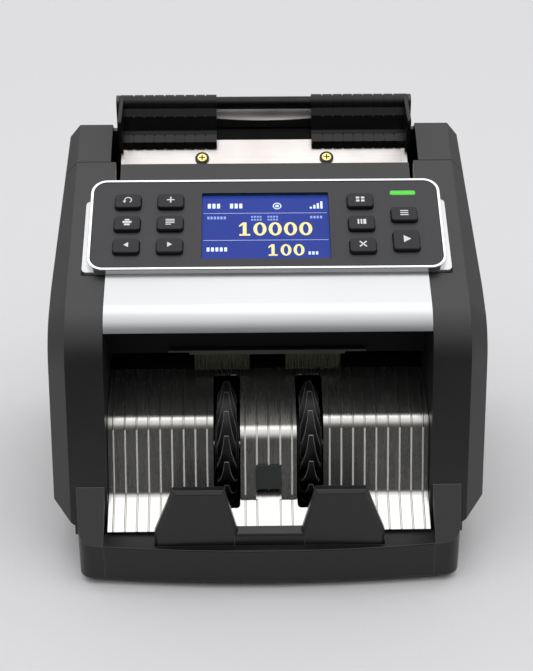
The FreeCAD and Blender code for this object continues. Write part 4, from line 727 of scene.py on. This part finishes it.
# ---- stage -----------------------------------------------------------------------------------
def make_camera():
    """In front, a degree to the left, and 28.5 degrees above the horizon."""
    camera = bpy.data.objects.new("camera", bpy.data.cameras.new("camera"))
    camera.location = CAMERA_AT
    camera.rotation_euler = (CAMERA_TILT, 0.0, CAMERA_YAW)
    camera.data.lens = CAMERA_LENS
    camera.data.sensor_width = 36.0
    camera.data.clip_start = 0.05
    bpy.context.scene.collection.objects.link(camera)
    bpy.context.scene.camera = camera


def area_light(name, at, toward, size, power, color=(1, 1, 1)):
    data = bpy.data.lights.new(name, "AREA")
    data.shape = "RECTANGLE"
    data.size, data.size_y = size
    data.energy = power
    data.color = color
    lamp = bpy.data.objects.new(name, data)
    lamp.location = at
    lamp.rotation_euler = (Vector(toward) - Vector(at)).to_track_quat("-Z", "Y").to_euler()
    bpy.context.scene.collection.objects.link(lamp)
    return lamp


def make_world():
    """Soft studio surroundings: bright above, dimmer to the sides, dark in front of the machine."""
    world = bpy.data.worlds.new("studio")
    world.use_nodes = True
    tree = world.node_tree
    tree.nodes.clear()
    output = tree.nodes.new("ShaderNodeOutputWorld")
    background = tree.nodes.new("ShaderNodeBackground")
    coords = tree.nodes.new("ShaderNodeTexCoord")
    split = tree.nodes.new("ShaderNodeSeparateXYZ")
    mix = tree.nodes.new("ShaderNodeMix")
    mix.data_type = "RGBA"
    tree.links.new(coords.outputs["Generated"], split.inputs[0])
    around = world_ramp(tree, split.outputs["Z"], AROUND)
    ahead = world_ramp(tree, split.outputs["Z"], AHEAD)
    front = tree.nodes.new("ShaderNodeMapRange")
    front.interpolation_type = "SMOOTHSTEP"
    front.inputs["From Min"].default_value = -0.1
    front.inputs["From Max"].default_value = -0.75
    tree.links.new(split.outputs["Y"], front.inputs["Value"])
    tree.links.new(front.outputs["Result"], mix.inputs["Factor"])
    tree.links.new(around, mix.inputs["A"])
    tree.links.new(ahead, mix.inputs["B"])
    tree.links.new(mix.outputs["Result"], background.inputs["Color"])
    tree.links.new(background.outputs[0], output.inputs[0])
    bpy.context.scene.world = world


def world_ramp(tree, height, stops):
    ramp = tree.nodes.new("ShaderNodeValToRGB")
    elements = ramp.color_ramp.elements
    while len(elements) < len(stops):
        elements.new(0.5)
    for element, (at, grey) in zip(elements, stops):
        element.position = at
        element.color = (grey, grey, grey, 1.0)
    tree.links.new(height, ramp.inputs["Fac"])
    return ramp.outputs["Color"]


def flat_sheet(name, x0, x1, y0, y1, z, material):
    """Level rectangle that belongs to the stage."""
    mesh_data = bpy.data.meshes.new(name)
    mesh_data.from_pydata([(x0, y0, 0), (x1, y0, 0), (x1, y1, 0), (x0, y1, 0)], [], [(0, 1, 2, 3)])
    mesh_data.materials.append(material)
    sheet = bpy.data.objects.new(name, mesh_data)
    sheet.location.z = z
    bpy.context.scene.collection.objects.link(sheet)
    return sheet


def make_stage():
    """Pale paper, a dark card that shows in reflections only, and a soft light above."""
    flat_sheet("floor", -FLOOR_REACH, FLOOR_REACH, -FLOOR_REACH, FLOOR_REACH, -FLOOR_DROP,
               stage_floor("paper", (0.735, 0.735, 0.748)))
    card = flat_sheet("card", -CARD_HALF, CARD_HALF, CARD_FRONT_Y, CARD_REAR_Y, CARD_LIFT,
                      stage_floor("card", (0.03, 0.03, 0.03)))
    card.visible_camera = False
    card.visible_diffuse = False
    card.visible_shadow = False
    card.visible_transmission = False
    area_light("overhead", (0.0, 0.0, 1.6), (0, 0, 0.1), (1.2, 1.0), 2.5)
    make_world()
    bpy.context.scene.view_settings.view_transform = "Standard"


def main():
    materials = make_materials()
    dress_cad(materials)
    add_key_symbols(materials)
    add_screen(materials)
    add_screw_painted_shade(materials)
    add_brushes(materials)
    make_stage()
    make_camera()


main()
